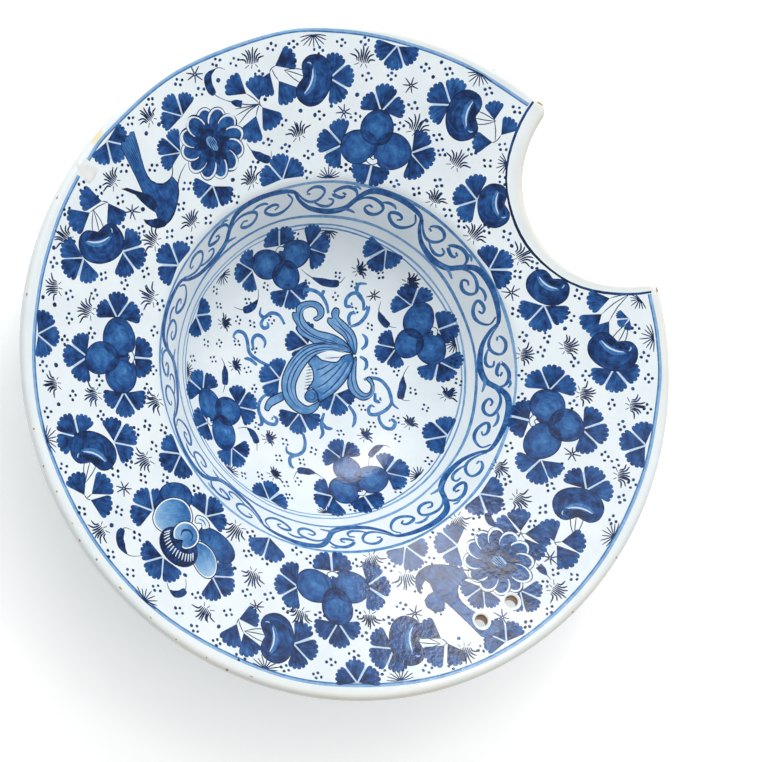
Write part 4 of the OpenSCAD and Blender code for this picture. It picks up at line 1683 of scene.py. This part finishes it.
foot_section = []
for cx, start, end in ((FOOT_IN_R + FOOT_ROUND, 180, 270), (FOOT_R - FOOT_ROUND, 270, 360)):
    foot_section += arc(cx, FOOT_ROUND, FOOT_ROUND, start, end, 5)
foot_section += [(FOOT_R, lower_face(FOOT_R) + 0.3), (FOOT_IN_R, lower_face(FOOT_IN_R) + 0.3)]
bare_foot = spun("bare_foot", foot_section)
for piece, node, slot_name in ((glazed_back, "back_glaze", "plain_glaze"),
                               (glazed_base, "base_glaze", "plain_glaze"),
                               (bare_foot, "foot_ring", "earthenware")):
    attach(piece, "root")
    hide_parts(node)

# %% [markdown]
# ## The old fill in the rim
# A chip in the rim was once made good with a white filler that hides the blue line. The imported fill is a
# plain scoop. The real one has an uneven outline, lies flush with the glaze and follows the rounded rim, so
# a thin patch on the same heights stands for it.

# %% Rim fill
# where the patch lies, then its outline in its own millimetres with up towards the rim
FILL_ANGLE = -156.0
FILL_R = 124.2
FILL_OUTLINE = [(-3.6, -3.4), (-1.6, -4.2), (1.4, -4.0), (3.7, -3.0), (3.0, -0.4), (2.2, 2.2), (1.4, 4.2),
                (0.0, 5.3), (-1.3, 4.2), (-2.2, 1.8), (-3.1, -0.8)]
# rings of the patch from its outline inwards: share of the outline, and height over the glaze
FILL_RINGS = [(1.0, -0.3), (0.93, 0.05), (0.75, 0.07), (0.5, 0.07), (0.25, 0.07)]
fill_at = on_ledge(FILL_ANGLE, FILL_R)
fill_path = [tuple(p) for p in smooth(FILL_OUTLINE + FILL_OUTLINE[:1], 3)][:-1]
count = len(fill_path)
fill_points = []
for share, lift in FILL_RINGS:
    for x, y in fill_path:
        px, py = fill_at(x * share, y * share)
        fill_points.append((px * MM, py * MM, (front_height(px, py) + lift) * MM))

last_ring = (len(FILL_RINGS) - 1) * count
fill_faces = []
for start in range(0, last_ring, count):
    for i in range(count):
        j = (i + 1) % count
        fill_faces.append((start + i, start + j, start + count + j, start + count + i))
fill_faces.append(tuple(range(last_ring, last_ring + count)))
fill_faces.append(tuple(reversed(range(count))))

fill_mesh = bpy.data.meshes.new("filled_chip")
fill_mesh.from_pydata(fill_points, [], fill_faces)
filled_chip = bpy.data.objects.new("filled_chip", fill_mesh)
bpy.context.collection.objects.link(filled_chip)
turn_outwards(filled_chip, 60)
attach(filled_chip, "root")
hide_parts("rim_fill")
print("fill patch with", len(fill_faces), "faces")

# %% [markdown]
# ## Materials
# Tin glaze is an opaque white glass: glossy, slightly wavy and a little uneven in tone. The blue is cobalt
# that sank into it, so painted and plain places have the same gloss. The clay is a porous buff earthenware
# that darkens with age. One flat white would look like plastic, so noise breaks it up, and each pattern's
# scale comes from the real size of its patches in millimetres.


# %% Node helper
def linear(hex_colour):
    """An sRGB hex colour as the linear colour that shaders use."""
    channels = []
    for i in (1, 3, 5):
        value = int(hex_colour[i:i + 2], 16) / 255
        channels.append(value / 12.92 if value <= 0.04045 else ((value + 0.055) / 1.055) ** 2.4)
    return (*channels, 1.0)


def add(tree, kind, inputs=None, stops=(), **settings):
    """Add a node, set its properties and colour stops, and give its sockets values or links."""
    new = tree.nodes.new(kind)
    for name, value in settings.items():
        setattr(new, name, value)
    for name, value in (inputs or {}).items():
        if isinstance(value, bpy.types.NodeSocket):
            tree.links.new(value, new.inputs[name])
        else:
            new.inputs[name].default_value = value
    elements = new.color_ramp.elements if stops else []
    while len(elements) < len(stops):
        elements.new(1.0)
    for element, (position, colour) in zip(elements, stops):
        element.position = position
        element.color = linear(colour)
    return new


def repeats(size):
    """Noise scale that puts one patch about every so many millimetres."""
    return 1 / (size * MM)


def new_material(name):
    """A material with an empty node tree."""
    material = bpy.data.materials.new(name)
    material.use_nodes = True
    material.node_tree.nodes.clear()
    return material, material.node_tree


print("node helper ready")

# %% Patterns of the glaze and the clay
# patches of slightly thicker glaze, the soft waves of its surface, and the grit of the clay
MOTTLE_MM = 18.0
WAVE_MM = 8.0
WAVE_HEIGHT = 0.002
WAVE_STRENGTH = 0.08
GRIT_MM = 1.1
GLAZE_IOR = 1.4
GLAZE_WHITES = [(0.3, "#e5eff4"), (0.7, "#f0f8fb")]
CLAY_TONES = [(0.3, "#8f6c42"), (0.7, "#c9a472")]
print("glaze mottled every", MOTTLE_MM, "mm, clay gritty every", GRIT_MM, "mm")

# %% Cobalt in the painted glaze
# cobalt oxide sinks into the glaze: it gives inky blues that pale to sky blue where the wash was thin
painted_glaze, tree = new_material("tin glaze painted in cobalt")
coords = add(tree, "ShaderNodeTexCoord")
here = coords.outputs["Object"]
ink = add(tree, "ShaderNodeAttribute", attribute_name="ink")
brush = add(tree, "ShaderNodeAttribute", attribute_name="brush")
# streaks run along the brush, whose own coordinates are about a millimetre across and several along
streak = add(tree, "ShaderNodeTexNoise", {
    "Vector": brush.outputs["Vector"], "Scale": 1.3, "Detail": 3.0, "Roughness": 0.6})
# the wash pools in patches about 3 mm wide
POOL_MM = 3.0
pool = add(tree, "ShaderNodeTexNoise", {"Vector": here, "Scale": repeats(POOL_MM), "Detail": 2.0})
uneven = add(tree, "ShaderNodeMath", {0: streak.outputs["Fac"], 1: pool.outputs["Fac"]}, operation="ADD")
swing = add(tree, "ShaderNodeMath", {0: uneven.outputs[0], 1: 1.0}, operation="SUBTRACT")
painted = add(tree, "ShaderNodeMath", {0: swing.outputs[0], 1: ink.outputs["Fac"]}, operation="MULTIPLY")
density = add(tree, "ShaderNodeMath", {
    0: painted.outputs[0], 1: 0.55, 2: ink.outputs["Fac"]}, operation="MULTIPLY_ADD")
COBALT_TONES = [(0.0, "#ffffff"), (0.15, "#d3e3f5"), (0.35, "#98bde3"), (0.5, "#689bce"), (0.62, "#3f7ab6"),
                (0.75, "#265c9d"), (0.86, "#16437e"), (0.94, "#0d3062"), (1.0, "#072149")]
cobalt = add(tree, "ShaderNodeValToRGB", {"Fac": density.outputs[0]}, COBALT_TONES)
print("cobalt has", len(COBALT_TONES), "tones")

# %% White and cream of the painted glaze
# the white is cool and mottled, and turns to cream along the edge where hands and lather aged it
mottle = add(tree, "ShaderNodeTexNoise", {"Vector": here, "Scale": repeats(MOTTLE_MM), "Detail": 4.0})
white = add(tree, "ShaderNodeValToRGB", {"Fac": mottle.outputs["Fac"]}, GLAZE_WHITES)
edge = add(tree, "ShaderNodeAttribute", attribute_name="edge")
CREAM_W = 5.6
near_edge = add(tree, "ShaderNodeMapRange", {
    "Value": edge.outputs["Fac"], "From Min": 0.0, "From Max": CREAM_W, "To Min": 1.0, "To Max": 0.0})
AGE_MM = 70.0
age = add(tree, "ShaderNodeTexNoise", {
    "Vector": here, "Scale": repeats(AGE_MM), "Detail": 5.0, "Roughness": 0.65})
blotch = add(tree, "ShaderNodeMapRange", {"Value": age.outputs["Fac"], "From Min": 0.32, "From Max": 0.62})
# it is creamier towards the cord holes and round the notch: distances along X and Y in metres
place = add(tree, "ShaderNodeSeparateXYZ", {"Vector": here})
hand_side = add(tree, "ShaderNodeMapRange", {
    "Value": place.outputs["X"], "From Min": -0.06, "From Max": 0.1, "To Min": 0.2, "To Max": 0.8})
notch_side = add(tree, "ShaderNodeMapRange", {
    "Value": place.outputs["Y"], "From Min": 0.06, "From Max": 0.085, "To Max": 0.7})
handled = add(tree, "ShaderNodeMath", {
    0: hand_side.outputs[0], 1: notch_side.outputs[0]}, operation="MAXIMUM")
aged = add(tree, "ShaderNodeMath", {0: handled.outputs[0], 1: blotch.outputs[0]}, operation="MULTIPLY")
yellowing = add(tree, "ShaderNodeMath", {0: near_edge.outputs[0], 1: aged.outputs[0]}, operation="MULTIPLY")
cream = add(tree, "ShaderNodeMix", {
    "Factor": yellowing.outputs[0], "A": white.outputs["Color"], "B": linear("#ebe4d1")}, data_type="RGBA")
tinted = add(tree, "ShaderNodeMix", {
    "Factor": 1.0, "A": cream.outputs["Result"], "B": cobalt.outputs["Color"]},
    data_type="RGBA", blend_type="MULTIPLY")
print("the glaze turns to cream within", CREAM_W, "mm of the edge")

# %% Stain and chips of the painted glaze
# a negative density is a yellow stain, and below half way to bare it is gritty brown clay
is_stained = add(tree, "ShaderNodeMapRange", {
    "Value": ink.outputs["Fac"], "From Min": 0.0, "From Max": STAIN, "To Min": 0.0, "To Max": 0.7})
stained = add(tree, "ShaderNodeMix", {
    "Factor": is_stained.outputs[0], "A": tinted.outputs["Result"], "B": linear("#efdc9c")}, data_type="RGBA")
is_bare = add(tree, "ShaderNodeMath", {0: ink.outputs["Fac"], 1: BARE / 2}, operation="LESS_THAN")
grit = add(tree, "ShaderNodeTexNoise", {"Vector": here, "Scale": repeats(GRIT_MM), "Detail": 4.0})
bare = add(tree, "ShaderNodeValToRGB", {"Fac": grit.outputs["Fac"]}, CLAY_TONES)
final = add(tree, "ShaderNodeMix", {
    "Factor": is_bare.outputs[0], "A": stained.outputs["Result"], "B": bare.outputs["Color"]},
    data_type="RGBA")

# the surface rolls in soft waves with a finer grain on them, so a lamp's image breaks up at its edge
orange_peel = add(tree, "ShaderNodeTexNoise", {"Vector": here, "Scale": repeats(WAVE_MM), "Detail": 3.0})
rolling = add(tree, "ShaderNodeBump", {
    "Height": orange_peel.outputs["Fac"], "Strength": WAVE_STRENGTH, "Distance": WAVE_HEIGHT})
GRAIN_MM = 1.6
grain = add(tree, "ShaderNodeTexNoise", {"Vector": here, "Scale": repeats(GRAIN_MM), "Detail": 2.0})
wavy = add(tree, "ShaderNodeBump", {
    "Height": grain.outputs["Fac"], "Strength": 0.16, "Distance": 0.0004, "Normal": rolling.outputs[0]})
gloss = add(tree, "ShaderNodeMapRange", {
    "Value": mottle.outputs["Fac"], "From Min": 0.3, "From Max": 0.7, "To Min": 0.1, "To Max": 0.19})
shader = add(tree, "ShaderNodeBsdfPrincipled", {
    "Base Color": final.outputs["Result"], "Roughness": gloss.outputs[0], "IOR": GLAZE_IOR,
    "Normal": wavy.outputs[0]})
add(tree, "ShaderNodeOutputMaterial", {"Surface": shader.outputs[0]})
print("painted glaze has", len(tree.nodes), "nodes")

# %% Plain glaze
# the same white glass without cobalt: it gives the eye a cool, even shine on the back
plain_glaze, tree = new_material("plain tin glaze")
coords = add(tree, "ShaderNodeTexCoord")
here = coords.outputs["Object"]
mottle = add(tree, "ShaderNodeTexNoise", {"Vector": here, "Scale": repeats(MOTTLE_MM), "Detail": 4.0})
white = add(tree, "ShaderNodeValToRGB", {"Fac": mottle.outputs["Fac"]}, GLAZE_WHITES)
orange_peel = add(tree, "ShaderNodeTexNoise", {"Vector": here, "Scale": repeats(WAVE_MM), "Detail": 3.0})
wavy = add(tree, "ShaderNodeBump", {
    "Height": orange_peel.outputs["Fac"], "Strength": WAVE_STRENGTH, "Distance": WAVE_HEIGHT})
shader = add(tree, "ShaderNodeBsdfPrincipled", {
    "Base Color": white.outputs["Color"], "Roughness": 0.12, "IOR": GLAZE_IOR, "Normal": wavy.outputs[0]})
add(tree, "ShaderNodeOutputMaterial", {"Surface": shader.outputs[0]})
print("plain glaze has", len(tree.nodes), "nodes")

# %% Clay and filler
# fired clay without glaze is matt and gritty, so it gives a dull brown line where the glaze ends
clay, tree = new_material("buff earthenware")
coords = add(tree, "ShaderNodeTexCoord")
here = coords.outputs["Object"]
grit = add(tree, "ShaderNodeTexNoise", {"Vector": here, "Scale": repeats(GRIT_MM), "Detail": 4.0})
tone = add(tree, "ShaderNodeValToRGB", {"Fac": grit.outputs["Fac"]}, CLAY_TONES)
rough = add(tree, "ShaderNodeBump", {"Height": grit.outputs["Fac"], "Strength": 0.35, "Distance": 0.0006})
shader = add(tree, "ShaderNodeBsdfPrincipled", {
    "Base Color": tone.outputs["Color"], "Roughness": 0.85, "Normal": rough.outputs[0]})
add(tree, "ShaderNodeOutputMaterial", {"Surface": shader.outputs[0]})

# plaster toned to match is satin and slightly greyer than the glaze, so the mend shows at a second look
FILLER_CLOUD_MM = 2.5
filler, tree = new_material("toned filler")
coords = add(tree, "ShaderNodeTexCoord")
here = coords.outputs["Object"]
cloud = add(tree, "ShaderNodeTexNoise", {"Vector": here, "Scale": repeats(FILLER_CLOUD_MM), "Detail": 3.0})
tone = add(tree, "ShaderNodeValToRGB", {"Fac": cloud.outputs["Fac"]}, [(0.3, "#e3e5e5"), (0.7, "#eff0ee")])
shader = add(tree, "ShaderNodeBsdfPrincipled", {"Base Color": tone.outputs["Color"], "Roughness": 0.35})
add(tree, "ShaderNodeOutputMaterial", {"Surface": shader.outputs[0]})
print("clay and filler ready")

# %% Materials on the pieces
coverings = [
    (painted_ledge, painted_glaze),
    (painted_well, painted_glaze),
    (glazed_back, plain_glaze),
    (glazed_base, plain_glaze),
    (bare_foot, clay),
    (filled_chip, filler),
]
for piece, material in coverings:
    piece.data.materials.clear()
    piece.data.materials.append(material)
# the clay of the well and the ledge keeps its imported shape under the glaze
for name in ("well", "ledge"):
    for obj in bpy.data.objects:
        if obj.type == "MESH" and obj.name.split(".")[0] == name:
            obj.data.materials.clear()
            obj.data.materials.append(clay)

# %% [markdown]
# ## Floor, light and camera
# The bowl lies on a pale paper floor under an even studio light. Three soft lamps of different widths stand
# in one direction, above the frame and a little to the right, so that one bright image with a soft border
# falls on the lower right of the ledge. The camera looks down about twenty degrees off the bowl's axis,
# rolled so that the neck notch points to the upper right.

# %% Floor
# white paper is matt, so it gives a soft shadow and no reflection; its faint tone is drawn 330 mm wide, far
# coarser than real fibres, because at this distance single fibres can't be seen
FLOOR_SIZE = 60.0
FLOOR_DROP = 0.0002
FLOOR_TONE_MM = 330.0
bpy.ops.mesh.primitive_plane_add(size=FLOOR_SIZE, location=(0, 0, -FLOOR_DROP))
floor = bpy.context.object
floor.name = "floor"
paper, tree = new_material("white paper floor")
coords = add(tree, "ShaderNodeTexCoord")
here = coords.outputs["Object"]
fibre = add(tree, "ShaderNodeTexNoise", {"Vector": here, "Scale": repeats(FLOOR_TONE_MM)})
tone = add(tree, "ShaderNodeValToRGB", {"Fac": fibre.outputs["Fac"]}, [(0.3, "#fbfbfb"), (0.7, "#ffffff")])
shader = add(tree, "ShaderNodeBsdfPrincipled", {
    "Base Color": tone.outputs["Color"], "Roughness": 0.9, "Specular IOR Level": 0.1})
print("floor is", FLOOR_SIZE, "m wide")

# %% Brightness of the floor
# the floor glows for camera, glossy and transmission rays, a painted brightness that doesn't light the bowl
# from below; the glow is weaker close round the bowl, a painted shade that deepens its shadow there
seen = add(tree, "ShaderNodeLightPath")
direct = add(tree, "ShaderNodeMath", {
    0: seen.outputs["Is Camera Ray"], 1: seen.outputs["Is Glossy Ray"]}, operation="MAXIMUM")
shown = add(tree, "ShaderNodeMath", {
    0: direct.outputs[0], 1: seen.outputs["Is Transmission Ray"]}, operation="MAXIMUM")
away = add(tree, "ShaderNodeVectorMath", {0: here}, operation="LENGTH")
# painted shade round the bowl: the glow drops from 0.4 at 0.16 m from the bowl's middle to 0.12 within 0.1 m
painted_shade_round_bowl = add(tree, "ShaderNodeMapRange", {
    "Value": away.outputs["Value"], "From Min": 0.1, "From Max": 0.16, "To Min": 0.12, "To Max": 0.4})
lift = add(tree, "ShaderNodeMath", {0: shown.outputs[0], 1: painted_shade_round_bowl.outputs[0]}, operation="MULTIPLY")
# painted light: an emission that makes the floor glow on top of its lit colour
glow = add(tree, "ShaderNodeEmission", {"Color": linear("#ffffff"), "Strength": lift.outputs[0]})
both = add(tree, "ShaderNodeAddShader", {0: shader.outputs[0], 1: glow.outputs[0]})
# from below, and within the foot ring, the floor is clear, so that the base can be seen
CLEAR_R = 0.043
side = add(tree, "ShaderNodeNewGeometry")
clear = add(tree, "ShaderNodeBsdfTransparent")
under_foot = add(tree, "ShaderNodeMath", {0: away.outputs["Value"], 1: CLEAR_R}, operation="LESS_THAN")
open_below = add(tree, "ShaderNodeMath", {
    0: side.outputs["Backfacing"], 1: under_foot.outputs[0]}, operation="MAXIMUM")
one_sided = add(tree, "ShaderNodeMixShader", {
    "Fac": open_below.outputs[0], 1: both.outputs[0], 2: clear.outputs[0]})
add(tree, "ShaderNodeOutputMaterial", {"Surface": one_sided.outputs[0]})
floor.data.materials.append(paper)
print("floor has", len(tree.nodes), "nodes")

# %% Camera
# the fitted camera: how far its view leans off the bowl's axis, in which direction, and the bowl's turn
TILT = math.radians(20.506)
LEAN = math.radians(22.19)
ROLL = math.radians(79.19)
# its focal length and the width of the frame in pixels, and the rim's middle as it sees it in millimetres
FOCAL_PX = 3158.84
FRAME_PX = 762
RIM_CENTRE_SEEN = Vector((-9.1985, 9.0083, -1200.0))
SENSOR_WIDTH = 36.0
CLIP_START = 0.05
axis_out = Vector((math.sin(TILT) * math.cos(LEAN), math.sin(TILT) * math.sin(LEAN), math.cos(TILT)))
axis_lean = Vector((math.cos(TILT) * math.cos(LEAN), math.cos(TILT) * math.sin(LEAN), -math.sin(TILT)))
axis_side = axis_out.cross(axis_lean)
bowl_x = math.cos(ROLL) * axis_lean - math.sin(ROLL) * axis_side
bowl_y = math.sin(ROLL) * axis_lean + math.cos(ROLL) * axis_side
view_turn = Matrix((bowl_x, bowl_y, axis_out))
camera_place = Vector((0, 0, RIM_TOP)) - view_turn @ RIM_CENTRE_SEEN
camera_data = bpy.data.cameras.new("camera")
camera_data.sensor_width = SENSOR_WIDTH
camera_data.lens = FOCAL_PX / FRAME_PX * SENSOR_WIDTH
camera_data.clip_start = CLIP_START
camera = bpy.data.objects.new("camera", camera_data)
bpy.context.collection.objects.link(camera)
camera.matrix_world = Matrix.Translation(camera_place * MM) @ view_turn.to_4x4()
bpy.context.scene.camera = camera
print("camera at", [round(v * MM, 3) for v in camera_place])

# %% Light
# the lamps' direction as the camera sees it: right, up and towards the camera
LAMP_WAY = Vector((0.30, 0.745, 0.60))
LAMP_AIM = Vector((0, 0, 0.05))
# each lamp: name, width and distance in metres, and power in watts
LAMPS = [("small softbox", 0.4, 1.0, 3.2), ("softbox", 0.6, 1.1, 1.0), ("broad softbox", 1.5, 1.2, 5.0)]
lamp_way = (view_turn @ LAMP_WAY).normalized()
for name, size, distance, power in LAMPS:
    lamp_data = bpy.data.lights.new(name, "AREA")
    lamp_data.shape = "DISK"
    lamp_data.size = size
    lamp_data.energy = power
    lamp = bpy.data.objects.new(name, lamp_data)
    bpy.context.collection.objects.link(lamp)
    lamp.location = LAMP_AIM + lamp_way * distance
    lamp.rotation_euler = lamp_way.to_track_quat("Z", "Y").to_euler()
    print(name, "at", [round(v, 3) for v in lamp.location])

# an even light from all round
STUDIO_STRENGTH = 0.53
world = bpy.data.worlds.new("studio")
world.use_nodes = True
tree = world.node_tree
tree.nodes.clear()
sky = add(tree, "ShaderNodeBackground", {"Color": linear("#ffffff"), "Strength": STUDIO_STRENGTH})
add(tree, "ShaderNodeOutputWorld", {"Surface": sky.outputs[0]})
bpy.context.scene.world = world
bpy.context.scene.view_settings.view_transform = "Standard"
